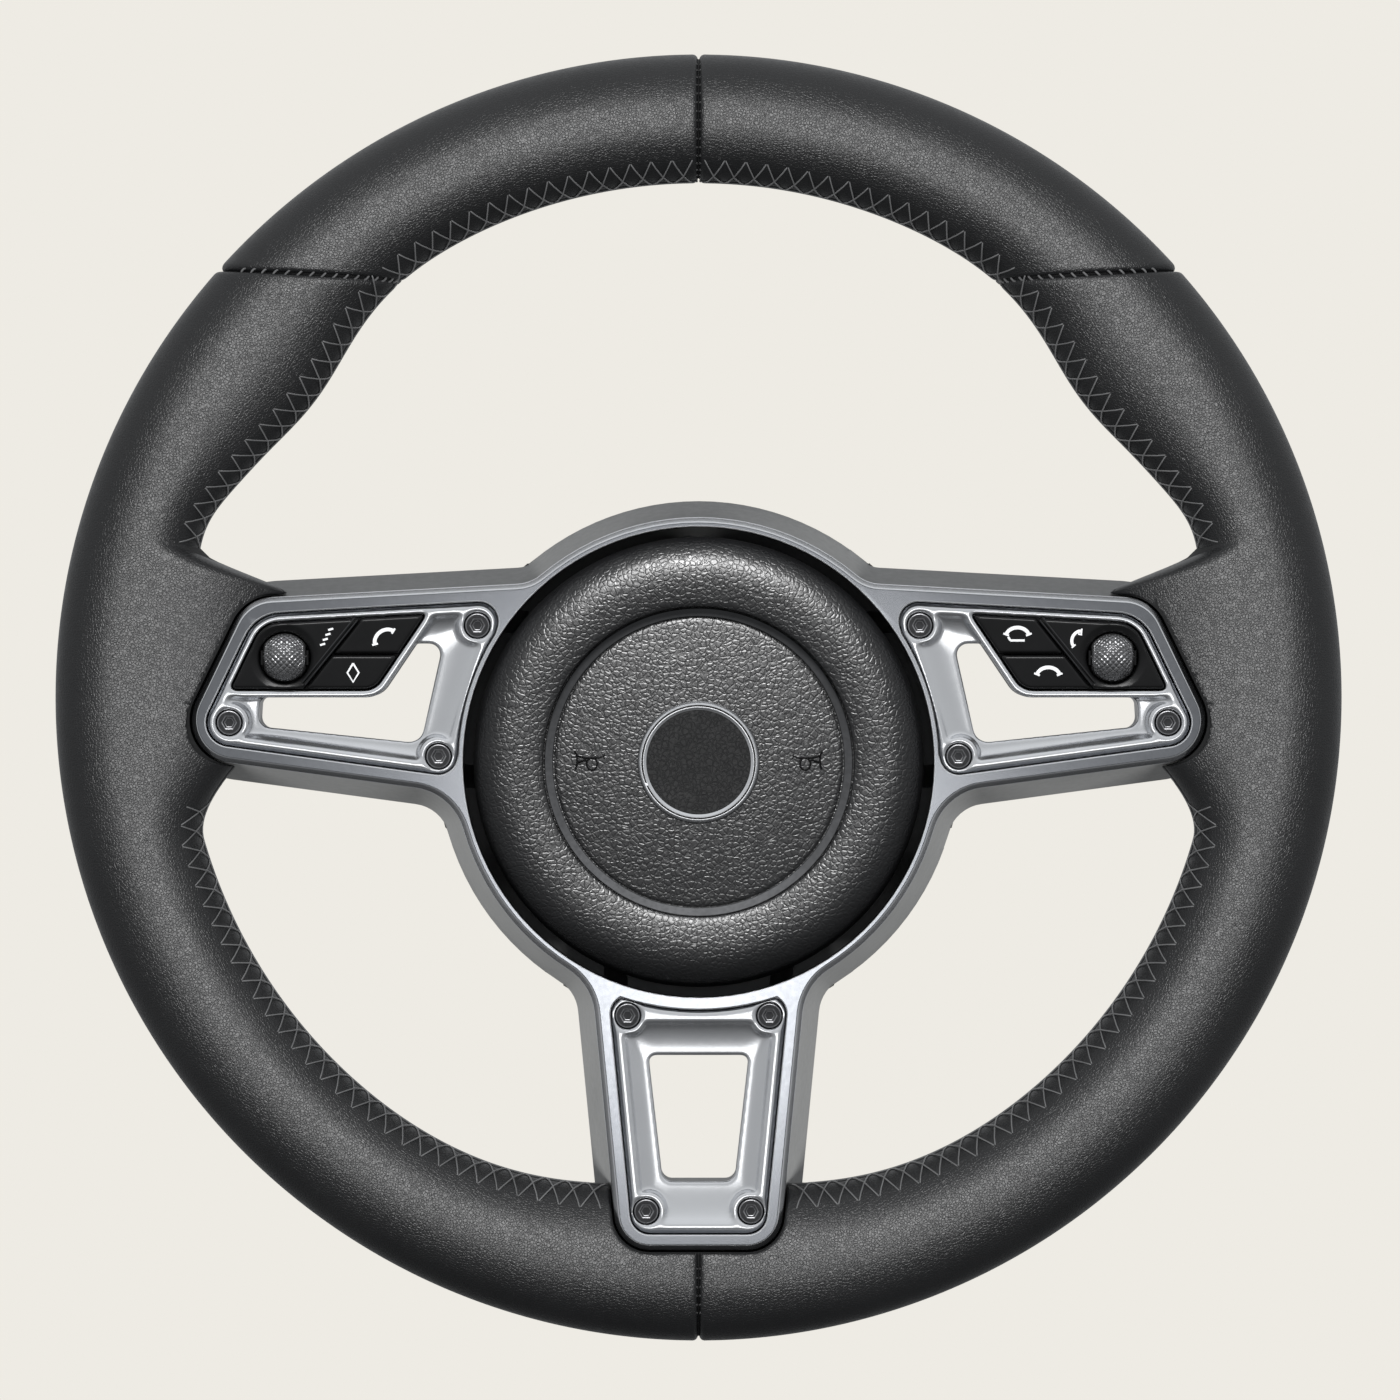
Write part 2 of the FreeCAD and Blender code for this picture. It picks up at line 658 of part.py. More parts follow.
def arm(start, end, gap):
    """Flat bar that rises from the hub disc to the spoke and ends in the ring."""
    way = (end - start).normalize()
    level = (HUB_DISC_BACK + HUB_DISC_FRONT) / 2
    ring = along_to(start, way, Vector(0, 0, 0), RING_RADIUS)
    hub = along_to(start, way, PAD_AXIS, PAD_SKIRT_RADIUS)
    steps = [
        (0, level),
        (hub, level),
        (hub + ARM_RISE, ARM_LEVEL),
        (ring - RIM_WIDTH + LEATHER - ARM_RISE / 2, ARM_LEVEL),
        (ring - RIM_WIDTH + LEATHER + ARM_RISE / 2, ARM_RING_LEVEL),
        (ring, ARM_RING_LEVEL),
    ]
    half = ARM_DEPTH / 2 + gap
    across = Vector(way.z, 0, -way.x) * (ARM_WIDTH / 2 + gap)
    upper = [start + way * run + Vector(0, -(level + half), 0) - across for run, level in steps]
    lower = [start + way * run + Vector(0, -(level - half), 0) - across for run, level in reversed(steps)]
    face = Part.Face(Part.makePolygon(upper + lower + upper[:1]))
    return face.extrude(across * 2)


ARM_LINES = [
    (from_hub(-38.3, 20.5), from_end(-10, 25.0)),
    (from_hub(-33.3, -26.0), from_end(-18, -10.5)),
    (Vector(-LOWER_HALF_TOP + 1.5, 0, -45), Vector(-LOWER_HALF_END + 8.8, 0, LOWER_END - 6)),
]


def arms(gap):
    """All six arms."""
    left = [arm(start, end, gap) for start, end in ARM_LINES]
    return left + [mirrored(bar) for bar in left]


def ring(gap):
    """Round bar inside the rim."""
    return Part.makeTorus(RING_RADIUS, RING_BAR + gap, at(0, 0, RIM_LEVEL), Vector(0, 1, 0))


def pin_points():
    """Places of the four horn guide pins."""
    places = [(x, z) for x in (-PIN_X, PIN_X) for z in (-PIN_Z, PIN_Z)]
    return [Vector(x, 0, z - PAD_DROP) for x, z in places]


def circle_points(radius, count, first):
    """Evenly spaced places on a circle about the pad's axis."""
    turns = [math.radians(first + 360 * i / count) for i in range(count)]
    return [PAD_AXIS + Vector(radius * math.cos(turn), 0, radius * math.sin(turn)) for turn in turns]


COVER_SCREWS = circle_points(COVER_SCREW_CIRCLE, 3, 90)


def armature():
    """Cast skeleton: hub disc with its boss, six arms and the ring."""
    centre = Vector(0, 0, 0)
    body = rod(PAD_AXIS, HUB_DISC_RADIUS, HUB_DISC_BACK, HUB_DISC_FRONT)
    body = body.fuse(rod(centre, BOSS_RADIUS, 0, HUB_DISC_FRONT))
    body = body.fuse(arms(0)).fuse(ring(0))
    body = body.cut(rod(centre, BUSH_RADIUS + FIT, -1, BUSH_LENGTH))
    body = body.cut(rod(centre, BOLT_HEAD_RADIUS, BUSH_LENGTH - 1, HUB_DISC_FRONT + 1))
    for point in pin_points():
        body = body.cut(rod(point, PIN_RADIUS + PIECE_GAP, HUB_DISC_BACK - 1, HUB_DISC_FRONT + 1))
    for point in COVER_SCREWS:
        body = body.cut(rod(point, SCREW_SHANK_RADIUS + FIT, HUB_DISC_BACK - 1, HUB_DISC_FRONT + 1))
    return whole(body)


def hub_bush():
    """Steel bush with the column bore and the bolt hole in its floor."""
    centre = Vector(0, 0, 0)
    body = rod(centre, BUSH_RADIUS, 0, BUSH_LENGTH)
    body = body.cut(rod(centre, COLUMN_BORE_RADIUS, -1, COLUMN_BORE_LENGTH))
    return whole(body.cut(rod(centre, COLUMN_BOLT_RADIUS, 0, BUSH_LENGTH + 1)))


def rim_padding(rooms):
    """Foam between the ring and the leather, open where the spokes enter."""
    half = rim_half(LEATHER + FIT)
    body = half.fuse(mirrored(half)).cut(ring(PIECE_GAP))
    for space in rooms + arms(PIECE_GAP):
        body = body.cut(space)
    return max(body.Solids, key=lambda piece: piece.Volume)


# Spoke frame and inserts
def frame_pocket(corners, hub_radius):
    """Stepped seat for an insert: its own outline in front, its ledge behind."""
    seat = prism(rounded(grown(corners, PIECE_GAP), INSERT_BACK), FRAME_FRONT + 1)
    through = prism(rounded(grown(corners, -FRAME_LEDGE), FRAME_BACK - 1), INSERT_BACK + 1)
    return hub_cut(seat, hub_radius - PIECE_GAP).fuse(hub_cut(through, hub_radius + FRAME_LEDGE))


def screw_points():
    """Places of the ten insert screws."""
    left = SIDE_SCREWS + [Vector(-point.x, 0, point.z) for point in SIDE_SCREWS]
    return left + LOWER_SCREWS + [Vector(-point.x, 0, point.z) for point in LOWER_SCREWS]


def spoke_frame():
    """Three-spoke face with a bevelled edge, the pad's opening and the insert seats."""
    base = prism(spoke_outline(0, FRAME_BACK), FRAME_FRONT - FRAME_BEVEL)
    bevel = ruled(spoke_outline(0, FRAME_FRONT - FRAME_BEVEL), spoke_outline(-FRAME_BEVEL, FRAME_FRONT))
    body = hub_cut(base.fuse(bevel), PAD_OPENING)
    side_pocket = frame_pocket(insert_corners(), PAD_OPENING + INSERT_HUB_WALL)
    body = body.cut(side_pocket).cut(mirrored(side_pocket))
    body = body.cut(frame_pocket(lower_insert_corners(), PAD_OPENING + LOWER_HUB_WALL))
    for point in screw_points():
        post = rod(point, SCREW_POST_RADIUS, INSERT_BACK - SCREW_POST_LENGTH, INSERT_BACK)
        body = body.fuse(hub_cut(post, PAD_OPENING))
    for point in screw_points():
        hole = rod(point, SCREW_SHANK_RADIUS + FIT, FRAME_BACK - SCREW_POST_LENGTH, INSERT_BACK + 1)
        body = body.cut(hole)
    return whole(body.removeSplitter())


def insert_body(corners, hub_radius, pocket, window, ledge, screws):
    """Cast insert: bevelled border, sloping pocket with screw bosses, and a window."""
    base = prism(rounded(corners, INSERT_BACK), INSERT_FRONT - SMALL_ROUND)
    top = ruled(
        rounded(corners, INSERT_FRONT - SMALL_ROUND), rounded(grown(corners, -SMALL_ROUND), INSERT_FRONT)
    )
    body = hub_cut(base.fuse(top), hub_radius)
    hollow = ruled(rounded(pocket, INSERT_FRONT), rounded(ledge, POCKET_FLOOR))
    hollow = hollow.fuse(prism(rounded(pocket, INSERT_FRONT), INSERT_FRONT + 1))
    slope = INSERT_FRONT - POCKET_FLOOR
    for point in screws:
        foot = at(point.x, point.z, POCKET_FLOOR - 1)
        wide = SCREW_BOSS_RADIUS + slope / 2
        cone = Part.makeCone(wide, SCREW_BOSS_RADIUS, slope + 2, foot, Vector(0, -1, 0))
        hollow = hollow.cut(cone)
    body = body.cut(hollow)
    body = body.cut(prism(rounded(window, INSERT_BACK - 1), INSERT_FRONT + 1))
    for point in screws:
        body = body.cut(rod(point, SCREW_HEAD_RADIUS + PIECE_GAP, HEAD_SEAT, INSERT_FRONT + 1))
        body = body.cut(rod(point, SCREW_SHANK_RADIUS + FIT, INSERT_BACK - 1, HEAD_SEAT + 1))
    return body


def side_insert():
    """Left insert with its switch bay."""
    ledge = moved(LEFT_WINDOW, [WINDOW_LEDGE] * 4 + [0, 0])
    radius = PAD_OPENING + INSERT_HUB_WALL
    body = insert_body(insert_corners(), radius, pocket_corners(), LEFT_WINDOW, ledge, SIDE_SCREWS)
    return whole(body.cut(prism(rounded(LEFT_BAY, INSERT_BACK - 1), INSERT_FRONT + 1)))


def lower_insert():
    """Insert of the lower spoke."""
    ledge = grown(LOWER_WINDOW, WINDOW_LEDGE)
    screws = LOWER_SCREWS + [Vector(-point.x, 0, point.z) for point in LOWER_SCREWS]
    radius = PAD_OPENING + LOWER_HUB_WALL
    pocket = lower_pocket_corners()
    return whole(insert_body(lower_insert_corners(), radius, pocket, LOWER_WINDOW, ledge, screws))


def screw(point, top, length):
    """Socket screw that faces the driver, its head's top on a forward level."""
    body = rod(point, SCREW_HEAD_RADIUS, top - SCREW_HEAD_DEPTH, top)
    seat = top - SCREW_HEAD_DEPTH
    body = body.fuse(rod(point, SCREW_SHANK_RADIUS, seat - length, seat))
    reach = SOCKET_WIDTH / math.sqrt(3)
    turns = [math.radians(60 * i) for i in range(7)]
    hexagon = [
        at(point.x + reach * math.cos(turn), point.z + reach * math.sin(turn), top - SOCKET_DEPTH)
        for turn in turns
    ]
    return whole(body.cut(prism(Part.makePolygon(hexagon), top + 1)))


# Rear cover
def window_tube(corners):
    """Wall round a window, and the space inside it, from the cover's back to the insert."""
    outer = prism(rounded(grown(corners, PIECE_GAP + WINDOW_TUBE_WALL), COVER_BACK), INSERT_BACK)
    inside = prism(rounded(grown(corners, PIECE_GAP), COVER_BACK - 1), INSERT_BACK + 1)
    return outer, inside


def housing_posts():
    """Places of the two posts under the left switch housing."""
    return [from_end(28.0, 9.0), from_end(46.0, 9.0)]


def rear_cover():
    """Moulded shell behind the spokes, with a bowl round the column."""
    floor = COVER_BACK + COVER_WALL
    outer = ruled(spoke_outline(0, FRAME_BACK), spoke_outline(COVER_DRAFT, floor))
    edge = spoke_outline(COVER_DRAFT - COVER_EDGE, COVER_BACK)
    outer = outer.fuse(ruled(spoke_outline(COVER_DRAFT, floor), edge))
    inside = ruled(spoke_outline(-COVER_WALL, FRAME_BACK), spoke_outline(COVER_DRAFT - COVER_WALL, floor))
    body = outer.cut(inside)
    wall = HUB_RADIUS + COVER_DRAFT
    bend = Vector(wall - 5.5, 0, BOWL_BACK + 6.5)
    inner_bend = bend + Vector(-0.8, 0, 0.7) * COVER_WALL
    body = body.cut(rod(PAD_AXIS, wall - COVER_WALL, COVER_BACK - 1, floor + 1))
    bowl = turned(
        [
            (wall, floor),
            (wall - 2, floor - 16),
            (BOWL_FLOOR_RADIUS, BOWL_BACK, bend.x, bend.z),
            (BOWL_OPENING_RADIUS, BOWL_BACK),
            (BOWL_OPENING_RADIUS, BOWL_BACK + COVER_WALL),
            (BOWL_FLOOR_RADIUS, BOWL_BACK + COVER_WALL),
            (wall - 2 - COVER_WALL, floor - 16, inner_bend.x, inner_bend.z),
            (wall - COVER_WALL, floor),
        ],
        PAD_AXIS,
    )
    body = body.fuse(bowl)
    for corners, copies in ((LEFT_WINDOW, 2), (LOWER_WINDOW, 1)):
        tube, space = window_tube(corners)
        for i in range(copies):
            body = body.fuse(mirrored(tube) if i else tube).cut(mirrored(space) if i else space)
    for point in COVER_SCREWS:
        body = body.fuse(rod(point, COVER_POST_RADIUS, BOWL_BACK, HUB_DISC_BACK))
    for point in housing_posts():
        post = rod(point, HOUSING_POST_RADIUS, COVER_BACK + 1, HOUSING_BACK)
        body = body.fuse(post).fuse(mirrored(post))
    for bar in arms(PIECE_GAP):
        body = body.cut(bar)
    for point in COVER_SCREWS:
        seat = BOWL_BACK + SCREW_HEAD_DEPTH
        body = body.cut(rod(point, SCREW_HEAD_RADIUS + PIECE_GAP, BOWL_BACK - 1, seat))
        body = body.cut(rod(point, SCREW_SHANK_RADIUS + FIT, BOWL_BACK, HUB_DISC_BACK + 1))
    return whole(body)


def rear_screws():
    """Three screws from behind, through the cover's posts into the hub disc."""
    length = HUB_DISC_FRONT - BOWL_BACK - SCREW_HEAD_DEPTH - 1
    screws = []
    for point in COVER_SCREWS:
        body = screw(point, 0, length)
        body.rotate(Vector(point.x, 0, point.z), Vector(0, 0, 1), 180)
        body.translate(Vector(0, -BOWL_BACK, 0))
        screws.append(body)
    return Part.makeCompound(screws)


# Switch packs
def housing():
    """Left switch housing: a tray in the bay."""
    corners = grown(LEFT_BAY, -PIECE_GAP)
    body = prism(rounded(corners, HOUSING_BACK), HOUSING_FRONT)
    return whole(body.cut(prism(rounded(grown(corners, -HOUSING_WALL), BOARD_BACK), HOUSING_FRONT + 1)))


def board():
    """Circuit board on the housing's floor."""
    corners = grown(LEFT_BAY, -2 * PIECE_GAP - HOUSING_WALL)
    return prism(rounded(corners, BOARD_BACK), MAT_BACK)


def bezel_corners():
    """Fixed panel round the roller, left of the divider."""
    divider = side(DIVIDER_BOTTOM, DIVIDER_TOP, 0)
    bay = [inner(INSERT_END_SIDE, BAY_BORDER + PIECE_GAP), inner(BAY_FLOOR_SIDE, PIECE_GAP)]
    sides = bay + [divider, inner(INSERT_TOP_SIDE, BAY_BORDER + PIECE_GAP)]
    return outlined(sides, [7.7, 0.9, SMALL_ROUND, SMALL_ROUND])


def button_corners(upper):
    """Upper or lower button, right of the divider."""
    divider = turned_back(side(DIVIDER_BOTTOM, DIVIDER_TOP, PIECE_GAP))
    right = inner(BAY_RIGHT_SIDE, PIECE_GAP)
    if upper:
        height = BUTTON_SPLIT + PIECE_GAP / 2
        floor = side(Vector(-1, 0, height), Vector(1, 0, height), 0)
        sides = [divider, floor, right, inner(INSERT_TOP_SIDE, BAY_BORDER + PIECE_GAP)]
        return outlined(sides, [SMALL_ROUND] * 4)
    height = BUTTON_SPLIT - PIECE_GAP / 2
    ceiling = side(Vector(1, 0, height), Vector(-1, 0, height), 0)
    sides = [divider, inner(BAY_FLOOR_SIDE, PIECE_GAP), right, ceiling]
    return outlined(sides, [SMALL_ROUND, SMALL_ROUND, 5.7, SMALL_ROUND])


def middle_of(corners):
    """Mean of the corner points."""
    total = Vector(0, 0, 0)
    for point, _ in corners:
        total = total + point
    return total * (1 / len(corners))


def cap(corners, front, face, back):
    """Hollow cap with a bevelled front edge."""
    body = prism(rounded(corners, back), front - BUTTON_BEVEL)
    top = ruled(rounded(corners, front - BUTTON_BEVEL), rounded(grown(corners, -BUTTON_BEVEL), front))
    hollow = prism(rounded(grown(corners, -BUTTON_WALL), back - 1), front - face)
    return body.fuse(top).cut(hollow)


def button(upper):
    """Push button: cap and plunger."""
    corners = button_corners(upper)
    body = cap(corners, BUTTON_FRONT, BUTTON_FACE, BUTTON_FRONT - BUTTON_SKIRT)
    plunger = rod(middle_of(corners), PLUNGER_RADIUS, PRESS_BACK, BUTTON_FRONT - BUTTON_FACE)
    return whole(body.fuse(plunger))


def mat():
    """Rubber mat with a dome under each button and under the roller."""
    corners = grown(LEFT_BAY, -2 * PIECE_GAP - HOUSING_WALL)
    body = prism(rounded(corners, MAT_BACK), MAT_BACK + MAT_DEPTH)
    room = prism(rounded(corners, MAT_BACK), DOME_TOP)
    for point in (middle_of(button_corners(True)), middle_of(button_corners(False)), ROLLER_POINT):
        body = body.fuse(rod(point, DOME_RADIUS, MAT_BACK, DOME_TOP).common(room))
    return whole(body)


def bezel():
    """Panel with a dished hole for the roller, standing on the housing's wall."""
    body = cap(bezel_corners(), BUTTON_FRONT, BEZEL_FACE + BUTTON_BEVEL / 2, HOUSING_FRONT)
    body = body.cut(rod(ROLLER_POINT, ROLLER_HOLE, HOUSING_FRONT, BUTTON_FRONT + 1))
    floor = at(ROLLER_POINT.x, ROLLER_POINT.z, BUTTON_FRONT - BEZEL_FACE / 2)
    dish = Part.makeCone(ROLLER_HOLE, DISH_RADIUS, BEZEL_FACE / 2, floor, Vector(0, -1, 0))
    return whole(body.cut(dish))


def roller_carrier():
    """Fork that holds the roller and presses on its dome."""
    inside = ROLLER_HALF + CHEEK_GAP
    outside = inside + CHEEK_DEPTH
    floor = ROLLER_LEVEL - ROLLER_RADIUS - PIECE_GAP
    height = ROLLER_LEVEL + AXLE_RADIUS + CHEEK_EDGE
    body = Part.makeBox(2 * outside, height - PRESS_BACK, 2 * CHEEK_HALF)
    body.translate(at(ROLLER_POINT.x - outside, ROLLER_POINT.z - CHEEK_HALF, height))
    gap = Part.makeBox(2 * inside, height - floor + 1, 2 * CHEEK_HALF + 2)
    gap.translate(at(ROLLER_POINT.x - inside, ROLLER_POINT.z - CHEEK_HALF - 1, height + 1))
    return whole(body.cut(gap).cut(axle(AXLE_RADIUS + FIT, 1)))


def axle(radius, overrun):
    """Round bar across the carrier."""
    reach = ROLLER_HALF + CHEEK_GAP + CHEEK_DEPTH + overrun
    base = at(ROLLER_POINT.x - reach, ROLLER_POINT.z, ROLLER_LEVEL)
    return Part.makeCylinder(radius, 2 * reach, base, Vector(1, 0, 0))


def roller():
    """Ball with flat sides and a cross bore that turns on its axle."""
    ball = Part.makeSphere(ROLLER_RADIUS)
    ball.rotate(Vector(0, 0, 0), Vector(0, 1, 0), 90)
    middle = at(ROLLER_POINT.x, ROLLER_POINT.z, ROLLER_LEVEL)
    ball.translate(middle)
    flats = Part.makeCylinder(ROLLER_RADIUS + 1, 2 * ROLLER_HALF, middle, Vector(1, 0, 0))
    flats.translate(Vector(-ROLLER_HALF, 0, 0))
    return whole(ball.common(flats).cut(axle(AXLE_RADIUS + RUNNING, 1)))


# Horn pad
def pad_cover():
    """Moulded cover: skirt, padded crown, band groove and sunk centre with the emblem's seat."""
    band = BAND_RADIUS - BAND_WIDTH
    groove = PAD_CENTRE_LEVEL - 1.9
    ceiling = PAD_CENTRE_LEVEL - PAD_WALL - 0.4
    skirt = PAD_SKIRT_RADIUS - PAD_WALL
    crown = PAD_CROWN_LEVEL - PAD_WALL
    body = turned(
        [
            (PAD_SKIRT_RADIUS, PLATE_FRONT),
            (PAD_SKIRT_RADIUS, PAD_EDGE_LEVEL - 4),
            (PAD_RADIUS, PAD_EDGE_LEVEL - 2),
            (PAD_RADIUS, PAD_EDGE_LEVEL),
            (PAD_CROWN_RADIUS, PAD_CROWN_LEVEL, PAD_RADIUS - 2.4, PAD_CROWN_LEVEL - 2.9),
            (BAND_RADIUS + FIT, PAD_CROWN_LEVEL - 2.3, PAD_CROWN_RADIUS - 5.4, PAD_CROWN_LEVEL - 0.6),
            (BAND_RADIUS + FIT, groove),
            (band - FIT, groove),
            (band - FIT, PAD_CENTRE_LEVEL - 0.9),
            (EMBLEM_RADIUS + FIT, PAD_CENTRE_LEVEL - 0.1, band - 11, PAD_CENTRE_LEVEL - 0.4),
            (EMBLEM_RADIUS + FIT, PAD_CENTRE_LEVEL - EMBLEM_SINK),
            (0, PAD_CENTRE_LEVEL - EMBLEM_SINK),
            (0, ceiling),
            (BAND_RADIUS + 1.5, ceiling),
            (BAND_RADIUS + 4, crown - 1.2),
            (PAD_CROWN_RADIUS, crown),
            (PAD_RADIUS - PAD_WALL - 0.6, PAD_EDGE_LEVEL + 2),
            (PAD_RADIUS - PAD_WALL - 0.6, PAD_EDGE_LEVEL - 0.5),
            (skirt, PAD_EDGE_LEVEL - 3),
            (skirt, PLATE_FRONT),
        ],
        PAD_AXIS,
    )
    return whole(body)


def pad_band():
    """Satin band in the groove, sloping in towards the centre."""
    band = BAND_RADIUS - BAND_WIDTH
    groove = PAD_CENTRE_LEVEL - 1.9
    outer = PAD_CROWN_LEVEL - 2.4
    inner_edge = PAD_CENTRE_LEVEL - 0.6
    return turned([(BAND_RADIUS, groove), (BAND_RADIUS, outer), (band, inner_edge), (band, groove)], PAD_AXIS)


def emblem():
    """Plain round disc with a raised edge in the middle of the pad."""
    seat = PAD_CENTRE_LEVEL - EMBLEM_SINK
    top = seat + EMBLEM_DEPTH
    return turned(
        [
            (0, seat),
            (EMBLEM_RADIUS, seat),
            (EMBLEM_RADIUS, top - 0.8),
            (EMBLEM_RADIUS - 0.8, top),
            (EMBLEM_RADIUS - 1.8, top),
            (EMBLEM_RADIUS - 2.4, top - 0.5),
            (0, top - 0.5),
        ],
        PAD_AXIS,
    )


def module_plate():
    """Steel plate that carries the airbag and rides on the horn springs."""
    body = rod(PAD_AXIS, PAD_SKIRT_RADIUS, PLATE_BACK, PLATE_FRONT)
    body = body.cut(rod(PAD_AXIS, INFLATOR_RADIUS + PIECE_GAP, PLATE_BACK - 1, PLATE_FRONT + 1))
    for point in pin_points():
        body = body.cut(rod(point, PIN_RADIUS + FIT, PLATE_BACK - 1, PLATE_FRONT + 1))
    for point in circle_points(INFLATOR_BOLT_CIRCLE, 4, 0):
        body = body.cut(rod(point, SCREW_SHANK_RADIUS + FIT, PLATE_BACK - 1, PLATE_FRONT + 1))
    return whole(body)


def inflator():
    """Gas generator: a can with a flange on the plate."""
    flange = PLATE_FRONT + 1.6
    body = turned(
        [
            (0, HUB_DISC_FRONT + HORN_TRAVEL + 2),
            (INFLATOR_RADIUS - 2, HUB_DISC_FRONT + HORN_TRAVEL + 2),
            (INFLATOR_RADIUS, HUB_DISC_FRONT + HORN_TRAVEL + 4),
            (INFLATOR_RADIUS, PLATE_FRONT),
            (INFLATOR_FLANGE, PLATE_FRONT),
            (INFLATOR_FLANGE, flange),
            (INFLATOR_RADIUS, flange),
            (INFLATOR_RADIUS, INFLATOR_TOP - 3),
            (INFLATOR_RADIUS - 3, INFLATOR_TOP),
            (0, INFLATOR_TOP),
        ],
        PAD_AXIS,
    )
    for point in circle_points(INFLATOR_BOLT_CIRCLE, 4, 0):
        body = body.cut(rod(point, SCREW_SHANK_RADIUS + FIT, PLATE_FRONT - 1, flange + 1))
    return whole(body)


def inflator_screws():
    """Four screws through the inflator's flange and the plate."""
    top = PLATE_FRONT + 1.6 + SCREW_HEAD_DEPTH
    points = circle_points(INFLATOR_BOLT_CIRCLE, 4, 0)
    return Part.makeCompound([screw(point, top, SCREW_POST_LENGTH) for point in points])


def cushion():
    """Folded airbag, packed as a ring round the inflator."""
    soft = 4.0
    middle = soft * (1 - math.sqrt(0.5))
    via = CUSHION_TOP - middle
    return turned(
        [
            (CUSHION_INNER_RADIUS, PLATE_FRONT),
            (CUSHION_RADIUS, PLATE_FRONT),
            (CUSHION_RADIUS, CUSHION_TOP - soft),
            (CUSHION_RADIUS - soft, CUSHION_TOP, CUSHION_RADIUS - middle, via),
            (CUSHION_INNER_RADIUS + soft, CUSHION_TOP),
            (CUSHION_INNER_RADIUS, CUSHION_TOP - soft, CUSHION_INNER_RADIUS + middle, via),
        ],
        PAD_AXIS,
    )


def guide_pins():
    """Four headed pins that hang from the plate and run through the hub disc."""
    pins = []
    for point in pin_points():
        back = HUB_DISC_BACK - PIECE_GAP
        pin = rod(point, PIN_RADIUS, back, PLATE_FRONT)
        pins.append(whole(pin.fuse(rod(point, PIN_RADIUS + 1.6, back - 1.8, back))))
    return Part.makeCompound(pins)


def horn_springs():
    """Four coil springs round the guide pins, between the hub disc and the plate."""
    run = HORN_SPRING_LENGTH - 2 * SPRING_WIRE - 2 * FIT
    helix = Part.makeHelix(run / SPRING_TURNS, run, SPRING_COIL)
    turns = [math.radians(60 * i) for i in range(7)]
    around = [Vector(math.cos(turn), 0, math.sin(turn)) * SPRING_WIRE for turn in turns]
    section = Part.makePolygon([Vector(SPRING_COIL, 0, 0) + point for point in around])
    coil = Part.Wire(helix).makePipeShell([section], True, True)
    coil.rotate(Vector(0, 0, 0), Vector(1, 0, 0), 90)
    springs = []
    for point in pin_points():
        spring = coil.copy()
        spring.translate(at(point.x, point.z, HUB_DISC_FRONT + SPRING_WIRE + FIT))
        springs.append(spring)
    return Part.makeCompound(springs)


def contact_pads():
    """Fixed horn contacts on the hub disc."""
    points = circle_points(CONTACT_CIRCLE, 4, 0)
    start = HUB_DISC_FRONT
    return Part.makeCompound([rod(point, CONTACT_RADIUS, start, start + CONTACT_DEPTH) for point in points])


def contact_studs():
    """Moving horn contacts under the plate, one horn stroke above the fixed ones."""
    points = circle_points(CONTACT_CIRCLE, 4, 0)
    start = HUB_DISC_FRONT + CONTACT_DEPTH + HORN_TRAVEL + 2 * FIT
    return Part.makeCompound([rod(point, CONTACT_RADIUS, start, PLATE_BACK) for point in points])


def build():
    """All pieces by name."""
    side_room = spoke_room(side_end_corners)
    lower_room = spoke_room(lower_end_corners)
    upper_panel, lower_panel = leather_panels([side_room, lower_room])
    face_screws = [screw(point, HEAD_TOP, SCREW_LENGTH) for point in screw_points()]
    pieces = {
        "armature": armature(),
        "hub_bush": hub_bush(),
        "rim_padding": rim_padding([side_room, mirrored(side_room), lower_room]),
        "leather_upper_left": upper_panel,
        "leather_upper_right": mirrored(upper_panel),
        "leather_left": lower_panel,
        "leather_right": mirrored(lower_panel),
        "spoke_frame": spoke_frame(),
        "rear_cover": rear_cover(),
        "rear_cover_screws": rear_screws(),
        "lower_insert": lower_insert(),
        "insert_screws": Part.makeCompound(face_screws),
        "horn_contact_pads": contact_pads(),
        "pad_cover": pad_cover(),
        "pad_band": pad_band(),
        "emblem_disc": emblem(),
        "module_plate": module_plate(),
        "inflator": inflator(),
        "inflator_screws": inflator_screws(),
        "airbag_cushion": cushion(),
        "guide_pins": guide_pins(),
        "horn_springs": horn_springs(),
        "horn_contact_studs": contact_studs(),
    }
    packs = {
        "insert": side_insert(),
        "switch_housing": housing(),
        "circuit_board": board(),
        "switch_mat": mat(),
        "roller_bezel": bezel(),
        "upper_button": button(True),
        "lower_button": button(False),
        "roller_carrier": roller_carrier(),
        "roller_axle": axle(AXLE_RADIUS, 0),
        "roller": roller(),
    }
    for name, shape in packs.items():
        pieces[f"left_{name}"] = shape
        pieces[f"right_{name}"] = mirrored(shape)
    return pieces


os.makedirs("parts", exist_ok=True)
for piece_name, piece_shape in build().items():
    piece_shape.exportStep(f"parts/{piece_name}.step")
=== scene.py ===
"""Dresses the steering wheel: leather rim, cross stitching, satin spokes, horn pad and switch packs."""

import json
import logging
import math
from collections.abc import Callable
from dataclasses import dataclass, field
from enum import Enum

import bmesh
import bpy
from mathutils import Matrix, Vector

